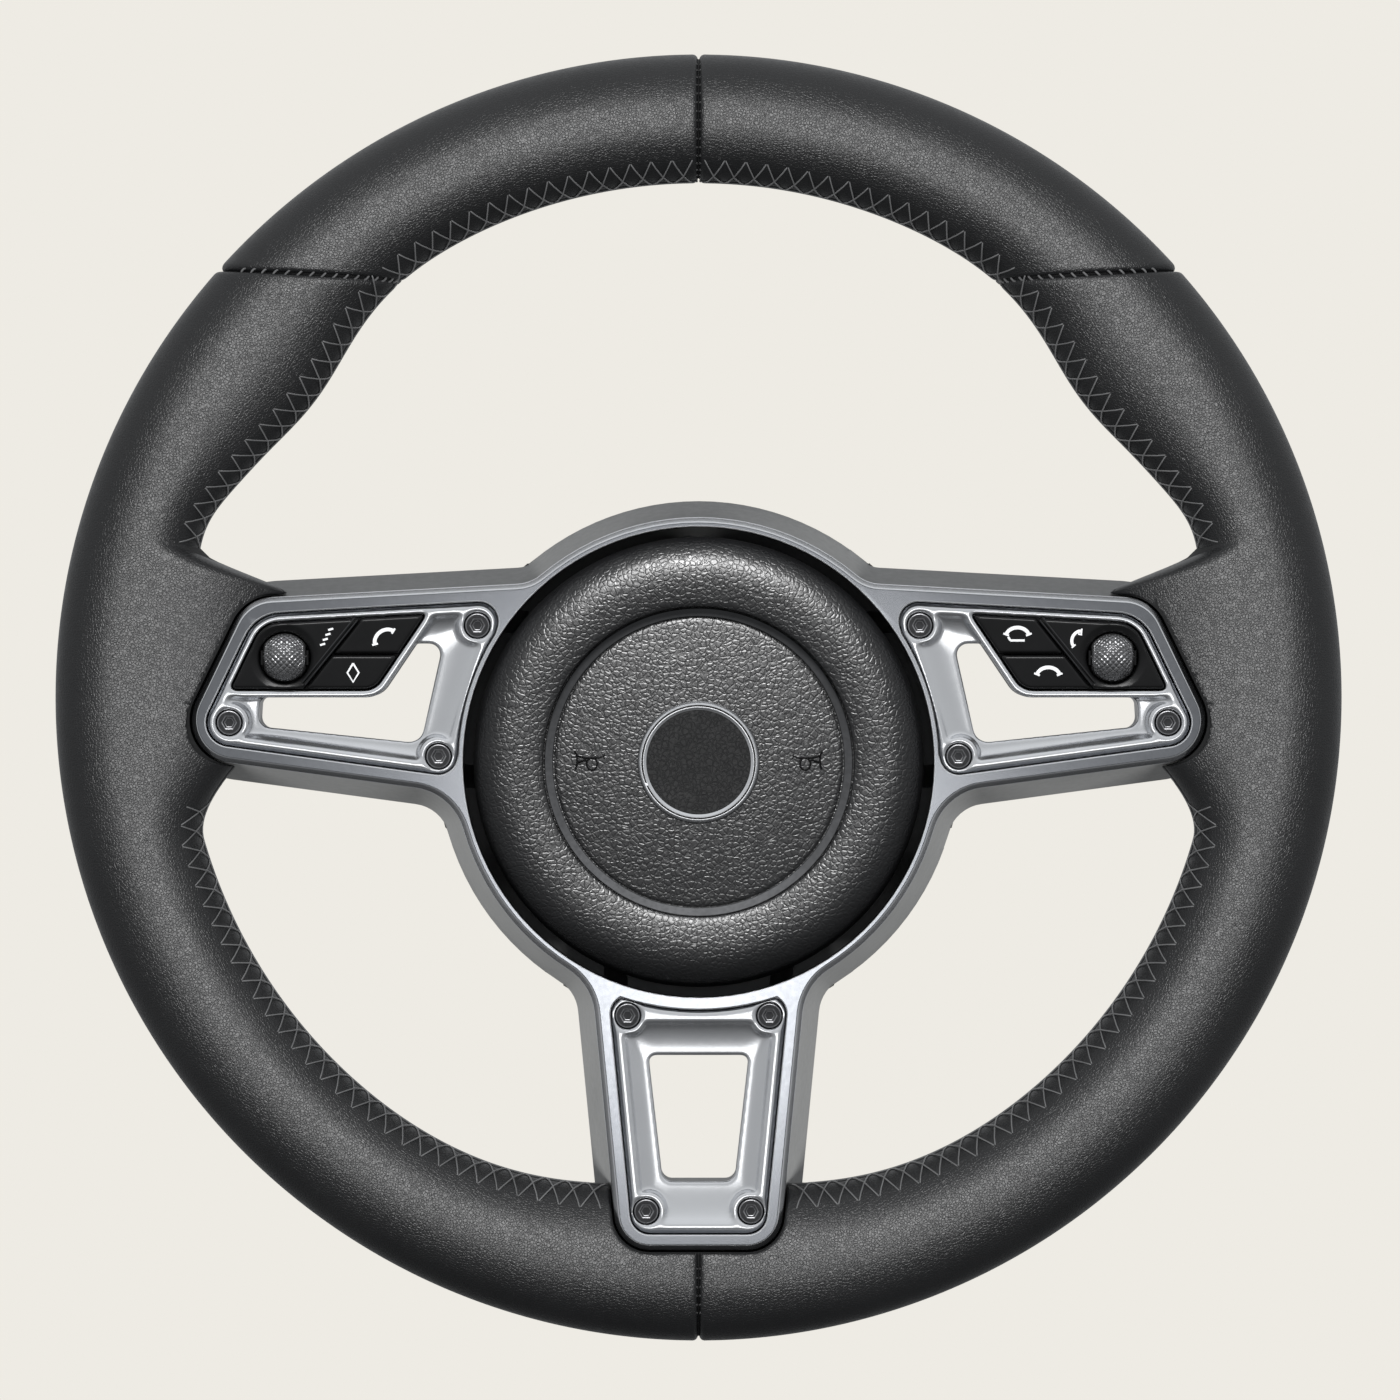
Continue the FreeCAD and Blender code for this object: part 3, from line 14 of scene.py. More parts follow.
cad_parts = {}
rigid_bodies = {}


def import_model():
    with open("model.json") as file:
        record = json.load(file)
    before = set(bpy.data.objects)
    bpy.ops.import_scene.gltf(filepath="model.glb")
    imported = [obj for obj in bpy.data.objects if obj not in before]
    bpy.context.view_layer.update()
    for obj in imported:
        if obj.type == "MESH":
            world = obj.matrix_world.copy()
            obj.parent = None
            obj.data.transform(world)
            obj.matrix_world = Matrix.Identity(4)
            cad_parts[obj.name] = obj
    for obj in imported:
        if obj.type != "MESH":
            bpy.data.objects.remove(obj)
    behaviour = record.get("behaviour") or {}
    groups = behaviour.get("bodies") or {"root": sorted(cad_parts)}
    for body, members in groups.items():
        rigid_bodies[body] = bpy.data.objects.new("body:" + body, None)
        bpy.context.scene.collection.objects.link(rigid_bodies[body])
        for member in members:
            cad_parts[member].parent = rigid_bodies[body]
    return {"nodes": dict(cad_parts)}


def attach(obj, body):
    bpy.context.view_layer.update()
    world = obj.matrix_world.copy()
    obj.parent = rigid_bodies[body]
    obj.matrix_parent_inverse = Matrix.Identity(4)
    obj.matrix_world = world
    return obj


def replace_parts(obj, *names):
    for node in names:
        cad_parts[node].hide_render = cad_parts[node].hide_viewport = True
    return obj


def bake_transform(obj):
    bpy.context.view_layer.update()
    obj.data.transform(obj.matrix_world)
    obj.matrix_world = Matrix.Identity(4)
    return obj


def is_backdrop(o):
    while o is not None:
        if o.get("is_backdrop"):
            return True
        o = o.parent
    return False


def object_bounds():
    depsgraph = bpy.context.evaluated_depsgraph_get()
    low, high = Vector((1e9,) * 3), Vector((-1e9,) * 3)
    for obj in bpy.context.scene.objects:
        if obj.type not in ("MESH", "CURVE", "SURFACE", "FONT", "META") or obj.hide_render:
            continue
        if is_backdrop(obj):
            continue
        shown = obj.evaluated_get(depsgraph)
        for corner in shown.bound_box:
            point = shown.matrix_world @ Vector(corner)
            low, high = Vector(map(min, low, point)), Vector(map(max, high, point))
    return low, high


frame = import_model()
CAD_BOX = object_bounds()

# Sizes are in millimetres as in the CAD; a mesh is brought to metres when it is finished.
MM = 0.001

Colour = tuple[float, float, float]
Point = tuple[float, float]

# Patterns between 0 and 1 hardly leave this range.
PATTERN_LOW = 0.3
PATTERN_HIGH = 0.7

# Worn patches as a multiple of the grain, and the bands of a wave in one of its units.
WEAR_SIZE = 4
WAVE_BANDS = 6

# Pebbled grain: scale and reach of its stirring, width of its creases, scale and share of its pores.
STIR_SCALE = 0.7
STIR_REACH = 0.9
CREASE_WIDTH = 0.22
PORE_SCALE = 1.9
PORE_SHARE = 0.7

# Angles in degrees up to which edges are shaded smooth.
SMOOTH = 35.0
SMOOTH_TURNED = 30.0
SMOOTH_LEATHER = 50.0
SMOOTH_STRAND = 60.0
SMOOTH_CAST = 80.0

# Points of a mesh closer than this are one point.
MERGE_DISTANCE = 0.001

# Faces that meet at less than the one are one flat face; edges above the other are rounded.
FLAT_ANGLE = math.radians(0.4)
SHARP_ANGLE = math.radians(28.0)

# A point this close to a flat face's level lies in the face.
LEVEL_SLACK = 0.01

# Share of the normal along the view, between which a face counts as a slanting front edge that gets a
# painted highlight.
HIGHLIGHT_SLANT = (-0.97, -0.15)

# How far a casting's straight slopes bend into coves, and how much such a slope faces the front.
COVE_SHARE = 0.75
COVE_FACING = -0.5

log = logging.getLogger("steering_wheel")


class Grain(Enum):
    """Kinds of surface detail."""

    PEBBLE = "pebble"
    FINE = "fine"
    WEAVE = "weave"
    TWIST = "twist"


class Side(Enum):
    """Hand of a piece as the driver sees it."""

    LEFT = "left"
    RIGHT = "right"

    @property
    def sign(self) -> float:
        """Direction along X."""
        return -1.0 if self is Side.LEFT else 1.0


class NodeBoard:
    """A material's nodes, with short calls that add and join them."""

    def __init__(self, name: str) -> None:
        """Starts a material with its shader."""
        self.material = bpy.data.materials.new(name)
        self.material.use_nodes = True
        self.nodes = self.material.node_tree.nodes
        self.links = self.material.node_tree.links
        self.shader = self.nodes["Principled BSDF"]

    def add(self, kind: str, **values: object) -> bpy.types.Node:
        """Adds a node.

        Args:
            kind: The node's type.
            values: Settings of the node, and values of its inputs by their lower-case names.

        Returns:
            The node.
        """
        node = self.nodes.new(kind)
        for key, value in values.items():
            if hasattr(node, key):
                setattr(node, key, value)
            else:
                node.inputs[key.replace("_", " ").title()].default_value = value
        return node

    def join(self, output: bpy.types.NodeSocket, target: bpy.types.NodeSocket) -> None:
        """Links an output to an input."""
        self.links.new(output, target)

    def texture(self, kind: str, place: bpy.types.NodeSocket, **values: object) -> bpy.types.Node:
        """Adds a texture that reads the given coordinates.

        Args:
            kind: The node's type.
            place: The coordinates.
            values: Settings and inputs of the node.

        Returns:
            The node.
        """
        node = self.add(kind, **values)
        self.join(place, node.inputs["Vector"])
        return node

    def spread(self, output: bpy.types.NodeSocket, low: float, high: float) -> bpy.types.NodeSocket:
        """Brings a pattern between 0 and 1 to the range from low to high.

        Args:
            output: The pattern.
            low: Value at the pattern's usual lowest.
            high: Value at its usual highest.

        Returns:
            The output with that range.
        """
        node = self.add(
            "ShaderNodeMapRange", from_min=PATTERN_LOW, from_max=PATTERN_HIGH, to_min=low, to_max=high
        )
        self.join(output, node.inputs["Value"])
        return node.outputs["Result"]


@dataclass(frozen=True)
class Finish:
    """One finish: colours, gloss and the detail of the surface."""

    name: str
    slot: str
    dark: Colour
    light: Colour
    roughness: float
    roughness_spread: float = 0.06
    metallic: float = 0.0
    specular: float = 0.5
    sheen: float = 0.0
    grain: Grain = Grain.FINE
    grain_size: float = 0.6
    grain_depth: float = 0.02
    patch_size: float = 30.0

    def material(self) -> bpy.types.Material:
        """Builds the finish's material, or finds it where it exists.

        Returns:
            The material.
        """
        found = bpy.data.materials.get(self.name)
        if found is not None:
            return found
        board = NodeBoard(self.name)
        shader = board.shader
        shader.inputs["Metallic"].default_value = self.metallic
        shader.inputs["Specular IOR Level"].default_value = self.specular
        shader.inputs["Sheen Weight"].default_value = self.sheen
        place = board.add("ShaderNodeTexCoord").outputs["Object"]
        patches = board.texture("ShaderNodeTexNoise", place, scale=1 / (self.patch_size * MM), detail=5.0)
        tint = board.add("ShaderNodeValToRGB")
        stops = ((PATTERN_LOW, self.dark), (PATTERN_HIGH, self.light))
        for element, (position, colour) in zip(tint.color_ramp.elements, stops):
            element.position = position
            element.color = (*colour, 1)
        board.join(patches.outputs["Fac"], tint.inputs["Fac"])
        board.join(tint.outputs["Color"], shader.inputs["Base Color"])
        height = self._height(board, place)
        wear_size = self.grain_size * WEAR_SIZE * MM
        wear = board.texture("ShaderNodeTexNoise", place, scale=1 / wear_size, detail=4.0)
        low = self.roughness - self.roughness_spread
        high = self.roughness + self.roughness_spread
        board.join(board.spread(wear.outputs["Fac"], low, high), shader.inputs["Roughness"])
        bump = board.add("ShaderNodeBump", strength=1.0, distance=self.grain_depth * MM)
        board.join(height, bump.inputs["Height"])
        board.join(bump.outputs["Normal"], shader.inputs["Normal"])
        return board.material

    def _height(self, board: NodeBoard, place: bpy.types.NodeSocket) -> bpy.types.NodeSocket:
        """Adds the nodes of the surface's detail.

        Args:
            board: The material's nodes.
            place: Coordinates of the pattern.

        Returns:
            The height of the detail, from about 0 to 1.
        """
        scale = 1 / (self.grain_size * MM)
        if self.grain is Grain.PEBBLE:
            return self._pebbles(board, place, scale)
        if self.grain is Grain.WEAVE:
            both = board.add("ShaderNodeMath", operation="MULTIPLY")
            for i, way in enumerate(("X", "Z")):
                settings = {"bands_direction": way, "scale": scale / WAVE_BANDS}
                row = board.texture("ShaderNodeTexWave", place, **settings)
                board.join(row.outputs["Fac"], both.inputs[i])
            return both.outputs["Value"]
        if self.grain is Grain.TWIST:
            settings = {"bands_direction": "DIAGONAL", "scale": scale / WAVE_BANDS, "distortion": 2.0}
            return board.texture("ShaderNodeTexWave", place, **settings).outputs["Fac"]
        return board.texture("ShaderNodeTexNoise", place, scale=scale, detail=3.0).outputs["Fac"]

    def _pebbles(
        self, board: NodeBoard, place: bpy.types.NodeSocket, scale: float
    ) -> bpy.types.NodeSocket:
        """Adds the pebbled grain of leather and moulded leather.

        Args:
            board: The material's nodes.
            place: Coordinates of the pattern.
            scale: Pebbles in a metre.

        Returns:
            The height of the grain.
        """
        stir = board.texture("ShaderNodeTexNoise", place, scale=scale * STIR_SCALE, detail=2.0)
        shift = board.add("ShaderNodeVectorMath", operation="MULTIPLY_ADD")
        board.join(stir.outputs["Color"], shift.inputs[0])
        shift.inputs[1].default_value = (STIR_REACH / scale,) * 3
        board.join(place, shift.inputs[2])
        moved = shift.outputs["Vector"]
        cells = board.texture("ShaderNodeTexVoronoi", moved, feature="DISTANCE_TO_EDGE", scale=scale)
        crease = board.add("ShaderNodeMapRange", interpolation_type="SMOOTHSTEP", from_max=CREASE_WIDTH)
        board.join(cells.outputs["Distance"], crease.inputs["Value"])
        pores = board.texture("ShaderNodeTexNoise", place, scale=scale * PORE_SCALE, detail=3.0)
        both = board.add("ShaderNodeMath", operation="MULTIPLY_ADD")
        board.join(pores.outputs["Fac"], both.inputs[0])
        both.inputs[1].default_value = PORE_SHARE
        board.join(crease.outputs["Result"], both.inputs[2])
        return both.outputs["Value"]


LEATHER = Finish(
    "charcoal_leather", "leather", (0.006, 0.0062, 0.0067), (0.0085, 0.0087, 0.0093), 0.36, 0.04,
    specular=0.5, grain=Grain.PEBBLE, grain_size=0.8, grain_depth=0.045,
)
THREAD = Finish(
    "stitch_thread", "leather", (0.075, 0.0755, 0.077), (0.115, 0.1155, 0.117), 0.5, 0.1,
    sheen=0.2, grain=Grain.TWIST, grain_size=0.35, grain_depth=0.05, patch_size=8.0,
)
# The silver frame's face painted darker than it is: a painted dark reflection. Its bevels get the inserts'
# metal as a painted highlight.
FRAME_METAL_PAINTED_DARK = Finish(
    "frame_metal_painted_dark", "satin_metal", (0.195, 0.203, 0.218), (0.22, 0.228, 0.243), 0.145, 0.01, metallic=1.0,
    grain_size=0.4, grain_depth=0.0006, patch_size=24.0,
)
INSERT_METAL = Finish(
    "insert_metal", "satin_metal", (0.76, 0.77, 0.79), (0.81, 0.82, 0.84), 0.25, 0.015, metallic=1.0,
    grain_size=0.4, grain_depth=0.0006, patch_size=20.0,
)
CAST_METAL = Finish(
    "cast_metal", "cast_metal", (0.05, 0.05, 0.052), (0.075, 0.075, 0.077), 0.6, 0.08, metallic=0.6,
    grain_size=0.9, grain_depth=0.06, patch_size=12.0,
)
STEEL = Finish(
    "plain_steel", "steel", (0.30, 0.30, 0.31), (0.36, 0.36, 0.37), 0.30, 0.05, metallic=1.0,
    grain_size=0.4, grain_depth=0.01, patch_size=9.0,
)
DARK_SCREW = Finish(
    "blackened_screw", "dark_screw", (0.075, 0.075, 0.078), (0.10, 0.10, 0.104), 0.28, 0.04, metallic=1.0,
    grain_size=0.3, grain_depth=0.004, patch_size=3.0,
)
FOAM = Finish(
    "rim_foam", "foam", (0.03, 0.03, 0.03), (0.05, 0.05, 0.05), 0.85, grain_size=1.4, grain_depth=0.2,
)
COVER_PLASTIC = Finish(
    "grey_cover", "cover_plastic", (0.115, 0.116, 0.114), (0.135, 0.136, 0.134), 0.40, 0.04,
    grain_size=0.5, grain_depth=0.012, patch_size=22.0,
)
PAD_PLASTIC = Finish(
    "grained_pad", "pad_plastic", (0.003, 0.0031, 0.0034), (0.004, 0.0041, 0.0045), 0.37, 0.03,
    specular=0.5, grain=Grain.PEBBLE, grain_size=1.5, grain_depth=0.065,
)
BAND_METAL = Finish(
    "pad_band_satin", "satin_metal", (0.05, 0.051, 0.053), (0.065, 0.066, 0.069), 0.34, 0.03, metallic=0.9,
    grain_size=0.3, grain_depth=0.004, patch_size=14.0,
)
SWITCH_PLASTIC = Finish(
    "black_switch", "switch_plastic", (0.004, 0.004, 0.0043), (0.006, 0.006, 0.0064), 0.24, 0.03,
    specular=0.32, grain_size=0.25, grain_depth=0.006, patch_size=7.0,
)
BOARD = Finish("green_board", "board", (0.01, 0.05, 0.02), (0.015, 0.07, 0.03), 0.45, grain_size=1.0)
MAT_RUBBER = Finish("mat_rubber", "mat_rubber", (0.12, 0.12, 0.12), (0.16, 0.16, 0.16), 0.7, grain_size=0.5)
CUSHION_FABRIC = Finish(
    "cushion_fabric", "fabric", (0.5, 0.5, 0.48), (0.58, 0.58, 0.56), 0.85, grain=Grain.WEAVE,
    grain_size=0.8, grain_depth=0.2,
)
ROLLER_RUBBER = Finish(
    "knurled_roller", "switch_plastic", (0.20, 0.20, 0.205), (0.27, 0.27, 0.275), 0.24, 0.05, metallic=0.85,
    grain_size=0.3, grain_depth=0.004, patch_size=3.0,
)
WHITE_PRINT = Finish(
    "white_print", "switch_plastic", (0.72, 0.73, 0.74), (0.80, 0.81, 0.82), 0.5, grain_size=0.3,
    grain_depth=0.003, patch_size=5.0,
)
PALE_FLOOR = Finish("pale_floor", "", (0.80, 0.78, 0.73), (0.82, 0.80, 0.75), 0.7, grain_size=2.0)


def ramp(start: float, end: float, value: float) -> float:
    """Height of a smooth step from 0 at start to 1 at end, read at a value."""
    share = min(max((value - start) / (end - start), 0.0), 1.0)
    return share * share * (3 - 2 * share)


def roll(distance: float, radius: float) -> float:
    """Depth of a rolled edge below the surface.

    Args:
        distance: Distance from the edge.
        radius: Radius of the roll.

    Returns:
        The depth, 0 beyond the roll.
    """
    if distance >= radius:
        return 0.0
    return radius - math.sqrt(radius**2 - (radius - max(distance, 0.0)) ** 2)


def linked(name: str, data: bpy.types.ID) -> bpy.types.Object:
    """Puts an object into the scene.

    Args:
        name: The object's name.
        data: Its mesh, curve, light or camera.

    Returns:
        The object.
    """
    made = bpy.data.objects.new(name, data)
    bpy.context.scene.collection.objects.link(made)
    return made


def mesh_of(bm: bmesh.types.BMesh, name: str) -> bpy.types.Mesh:
    """Turns a bmesh into a mesh.

    Args:
        bm: The shape, which is freed.
        name: The mesh's name.

    Returns:
        The mesh.
    """
    mesh = bpy.data.meshes.new(name)
    bm.to_mesh(mesh)
    bm.free()
    return mesh


def finished(
    bm: bmesh.types.BMesh, name: str, finish: Finish, body: str | None, smooth: float = SMOOTH
) -> bpy.types.Object:
    """Turns a bmesh in millimetres, which is freed, into a finished piece in metres."""
    bmesh.ops.scale(bm, vec=(MM, MM, MM), verts=bm.verts)
    return placed(mesh_of(bm, name), name, finish, body, smooth)


def placed(
    mesh: bpy.types.Mesh, name: str, finish: Finish, body: str | None, smooth: float = SMOOTH
) -> bpy.types.Object:
    """Puts a mesh in metres into the scene as a piece.

    Args:
        mesh: The mesh.
        name: The piece's name.
        finish: Its finish.
        body: The body it rides on, or None for a piece that rides on no body.
        smooth: Angle in degrees up to which edges are shaded smooth.

    Returns:
        The piece.
    """
    mesh.materials.clear()
    mesh.materials.append(finish.material())
    mesh.polygons.foreach_set("use_smooth", [True] * len(mesh.polygons))
    mesh.set_sharp_from_angle(angle=math.radians(smooth))
    piece = linked(name, mesh)
    if body is not None:
        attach(piece, body)
    log.info("%s: %d faces", name, len(mesh.polygons))
    return piece


def skin(rings: list[list[Vector]]) -> bmesh.types.BMesh:
    """Draws a closed skin through rings of like count, one extrusion a ring.

    Args:
        rings: Points of each ring in order.

    Returns:
        The skin with both ends capped.
    """
    bm = bmesh.new()
    order = bm.verts.layers.int.new("order")
    bmesh.ops.create_circle(bm, segments=len(rings[0]), radius=1.0, cap_ends=True)
    for i, vert in enumerate(bm.verts):
        vert[order] = i
        vert.co = rings[0][i]
    edges = list(bm.edges)
    for ring in rings[1:]:
        made = bmesh.ops.extrude_edge_only(bm, edges=edges)["geom"]
        fresh = {item for item in made if isinstance(item, bmesh.types.BMVert)}
        for vert in fresh:
            vert.co = ring[vert[order]]
        edges = [
            item for item in made
            if isinstance(item, bmesh.types.BMEdge) and item.verts[0] in fresh and item.verts[1] in fresh
        ]
    bmesh.ops.edgeloop_fill(bm, edges=edges)
    bmesh.ops.recalc_face_normals(bm, faces=bm.faces)
    return bm


def strands(name: str, paths: list[list[Vector]], radius: float) -> bpy.types.Mesh:
    """Draws round strands along paths.

    Args:
        name: The mesh's name.
        paths: Points of each strand in millimetres.
        radius: The strands' radius in millimetres.

    Returns:
        The mesh in metres.
    """
    curve = bpy.data.curves.new(name, "CURVE")
    curve.dimensions = "3D"
    curve.bevel_depth = radius * MM
    curve.bevel_resolution = 1
    curve.use_fill_caps = True
    for path in paths:
        spline = curve.splines.new("POLY")
        spline.points.add(len(path) - 1)
        for point, place in zip(spline.points, path):
            point.co = (*(place * MM), 1)
    drawn = linked(name, curve)
    graph = bpy.context.evaluated_depsgraph_get()
    mesh = bpy.data.meshes.new_from_object(drawn.evaluated_get(graph))
    bpy.data.objects.remove(drawn)
    bpy.data.curves.remove(curve)
    mesh.name = name
    return mesh


def applied(working: bpy.types.Object) -> bmesh.types.BMesh:
    """Takes a working object's shape with its modifiers and removes the object.

    Args:
        working: The object.

    Returns:
        The shape.
    """
    graph = bpy.context.evaluated_depsgraph_get()
    bm = bmesh.new()
    bm.from_mesh(working.evaluated_get(graph).data)
    bpy.data.objects.remove(working)
    return bm


def merged_copy(node: str) -> bmesh.types.BMesh:
    """Copies a CAD node with its triangles joined.

    Args:
        node: The CAD node.

    Returns:
        The copy in millimetres.
    """
    bm = bmesh.new()
    bm.from_mesh(frame["nodes"][node].data)
    bmesh.ops.scale(bm, vec=(1 / MM, 1 / MM, 1 / MM), verts=bm.verts)
    bmesh.ops.remove_doubles(bm, verts=bm.verts, dist=MERGE_DISTANCE)
    return bm


def coved(bm: bmesh.types.BMesh, front: float, floor: float) -> None:
    """Bends the straight slopes of a casting's pocket into hollow coves.

    Args:
        bm: The casting in millimetres.
        front: Forward level of its face.
        floor: Forward level at the slopes' foot.
    """
    bm.normal_update()
    for vert in bm.verts:
        depth = (front + vert.co.y) / (front - floor)
        if vert.normal.y < COVE_FACING and 0.0 < depth < 1.0:
            cove = math.sqrt(1.0 - (1.0 - depth) ** 2)
            vert.co.y += (cove - depth) * COVE_SHARE * (front - floor)


def cast_node(
    node: str, finish: Finish, body: str, cell: float, passes: int, pocket: Point | None = None
) -> bpy.types.Object:
    """Shows a CAD node as a casting with soft edges all over.

    Args:
        node: The CAD node.
        finish: The casting's finish.
        body: The body it rides on.
        cell: Size of the new mesh's cells in millimetres.
        passes: Times that the mesh is smoothed.
        pocket: Forward levels of the face and of the pocket's foot, where it has a pocket.

    Returns:
        The piece.
    """
    name = f"{node}_blank"
    blank = linked(name, mesh_of(merged_copy(node), name))
    remesh = blank.modifiers.new("cells", "REMESH")
    remesh.mode = "VOXEL"
    remesh.voxel_size = cell
    bm = applied(blank)
    if pocket is not None:
        coved(bm, *pocket)
    for _ in range(passes):
        bmesh.ops.smooth_vert(
            bm, verts=bm.verts, factor=0.5, use_axis_x=True, use_axis_y=True, use_axis_z=True
        )
    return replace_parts(finished(bm, f"{node}_cast", finish, body, SMOOTH_CAST), node)


def solid_copy(
    node: str, width: float, segments: int, pierced: tuple[float, ...]
) -> bmesh.types.BMesh:
    """Copies a CAD node with its sharp edges rounded.

    Args:
        node: The CAD node.
        width: Width of the rounding in millimetres.
        segments: Steps across the rounding.
        pierced: Forward levels of flat faces with holes, whose triangles stay as they are.

    Returns:
        The rounded copy in millimetres.
    """
    bm = merged_copy(node)
    kept = {vert for vert in bm.verts if any(abs(vert.co.y + level) < LEVEL_SLACK for level in pierced)}
    verts = [vert for vert in bm.verts if vert not in kept]
    edges = [edge for edge in bm.edges if not kept.issuperset(edge.verts)]
    bmesh.ops.dissolve_limit(bm, angle_limit=FLAT_ANGLE, verts=verts, edges=edges)
    edges = [edge for edge in bm.edges if edge.is_manifold and edge.calc_face_angle() > SHARP_ANGLE]
    bmesh.ops.bevel(
        bm, geom=edges, offset=width, offset_type="OFFSET", segments=segments, profile=0.5,
        affect="EDGES", clamp_overlap=False, material=-1,
    )
    return bm


def dressed_node(
    node: str, finish: Finish, body: str, width: float, segments: int = 2, pierced: tuple[float, ...] = ()
) -> bpy.types.Object:
    """Shows a CAD node as a copy with rounded edges.

    Args:
        node: The CAD node.
        finish: The copy's finish.
        body: The body it rides on.
        width: Width of the rounding in millimetres.
        segments: Steps across the rounding.
        pierced: Forward levels of flat faces with holes.

    Returns:
        The piece.
    """
    shape = solid_copy(node, width, segments, pierced)
    piece = finished(shape, f"{node}_dressed", finish, body)
    weighted = piece.modifiers.new("even_shading", "WEIGHTED_NORMAL")
    weighted.keep_sharp = True
    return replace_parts(piece, node)


def paint_edge_highlight(piece: bpy.types.Object, finish: Finish) -> None:
    """Paints a highlight on the slanting edge faces in front by giving them a brighter finish of their own.

    Args:
        piece: The piece.
        finish: The brighter finish that paints the highlight.
    """
    piece.data.materials.append(finish.material())
    for polygon in piece.data.polygons:
        if HIGHLIGHT_SLANT[0] < polygon.normal.y < HIGHLIGHT_SLANT[1]:
            polygon.material_index = 1


@dataclass
class RimShape:
    """Shape of the rim on its left half: width by angle, and the section."""

    radius: float = 180.0
    width: float = 36.0
    depth: float = 30.0
    level: float = 52.0
    squareness: float = 2.25
    grip_swell: float = 8.3
    grip_angle: float = 37.5
    grip_spread: float = 11.6
    neck_dip: float = 2.4
    neck_angle: float = 19.0
    neck_spread: float = 5.0
    root_reach: float = 26.0
    root_top: float = 15.35
    root_top_ramp: float = 2.0
    root_foot: float = -8.5
    root_foot_ramp: float = 15.0
    foot_reach: float = 8.0
    foot_spread: float = 18.0
    surface_share: float = 0.97
    phase_step: float = 0.5

    def width_at(self, angle: float) -> float:
        """Width of the rim.

        Args:
            angle: Angle above the spokes in degrees.

        Returns:
            The width.
        """
        grip = self.grip_swell * math.exp(-(((angle - self.grip_angle) / self.grip_spread) ** 2))
        neck = self.neck_dip * math.exp(-(((angle - self.neck_angle) / self.neck_spread) ** 2))
        half_top = self.root_top_ramp / 2
        half_foot = self.root_foot_ramp / 2
        upper = ramp(self.root_top + half_top, self.root_top - half_top, angle)
        lower = ramp(self.root_foot - half_foot, self.root_foot + half_foot, angle)
        foot = self.foot_reach * math.exp(-(((angle + 90) / self.foot_spread) ** 2))
        return self.width + grip - neck + self.root_reach * upper * lower + foot

    @property
    def crest(self) -> float:
        """Radius of the circle where the rim stands highest."""
        return self.radius - self.width / 2

    def half_at(self, angle: float, across: float) -> float:
        """Reach of the section from its crest, outwards or, for a negative across, inwards."""
        return self.width / 2 if across > 0 else self.width_at(angle) - self.width / 2

    def section(self, point: Vector) -> tuple[float, float, float]:
        """Angle in degrees at a point, and its reach and height from the section's middle."""
        angle = math.degrees(math.atan2(point.z, -point.x))
        return angle, math.hypot(point.x, point.z) - self.crest, -point.y - self.level

    def place(self, angle: float, across: float, height: float) -> Vector:
        """Point at an angle in degrees, with its reach and height from the section's middle."""
        turn = math.radians(angle)
        reach = self.crest + across
        return Vector((-reach * math.cos(turn), -self.level - height, reach * math.sin(turn)))

    def point(self, angle: float, phase: float, inset: float = 0.0) -> Vector:
        """Point of the surface.

        Args:
            angle: Angle above the spokes in degrees.
            phase: Angle round the section in degrees: 0 outside, 90 in front, 180 inside.
            inset: Depth below the surface.

        Returns:
            The point.
        """
        power = 2 / self.squareness
        cosine = math.cos(math.radians(phase))
        sine = math.sin(math.radians(phase))
        across = math.copysign(abs(cosine) ** power, cosine)
        along = math.copysign(abs(sine) ** power, sine)
        reach = (self.half_at(angle, across) - inset) * across
        return self.place(angle, reach, (self.depth / 2 - inset) * along)

    def sunk(self, point: Vector, inset: float) -> Vector:
        """A point of the surface moved below it.

        Args:
            point: The point.
            inset: The depth.

        Returns:
            The moved point.
        """
        angle, across, height = self.section(point)
        moved = across * (1 - inset / self.half_at(angle, across))
        return self.place(angle, moved, height * (1 - inset / (self.depth / 2)))

    def on_surface(self, point: Vector) -> bool:
        """Whether a point lies on the surface and not under it."""
        angle, across, height = self.section(point)
        shares = (abs(across) / self.half_at(angle, across), abs(height) / (self.depth / 2))
        return sum(share**self.squareness for share in shares) > self.surface_share

    def phase_at(self, angle: float, girth: float) -> float:
        """Phase at a distance round the section from its inner edge.

        Args:
            angle: Angle above the spokes in degrees.
            girth: Distance along the surface, positive to the front.

        Returns:
            The phase in degrees.
        """
        step = -self.phase_step if girth > 0 else self.phase_step
        phase = 180.0
        before = self.point(angle, phase)
        run = 0.0
        while True:
            after = self.point(angle, phase + step)
            length = (after - before).length
            if run + length >= abs(girth):
                return phase + step * (abs(girth) - run) / length
            run += length
            phase += step
            before = after


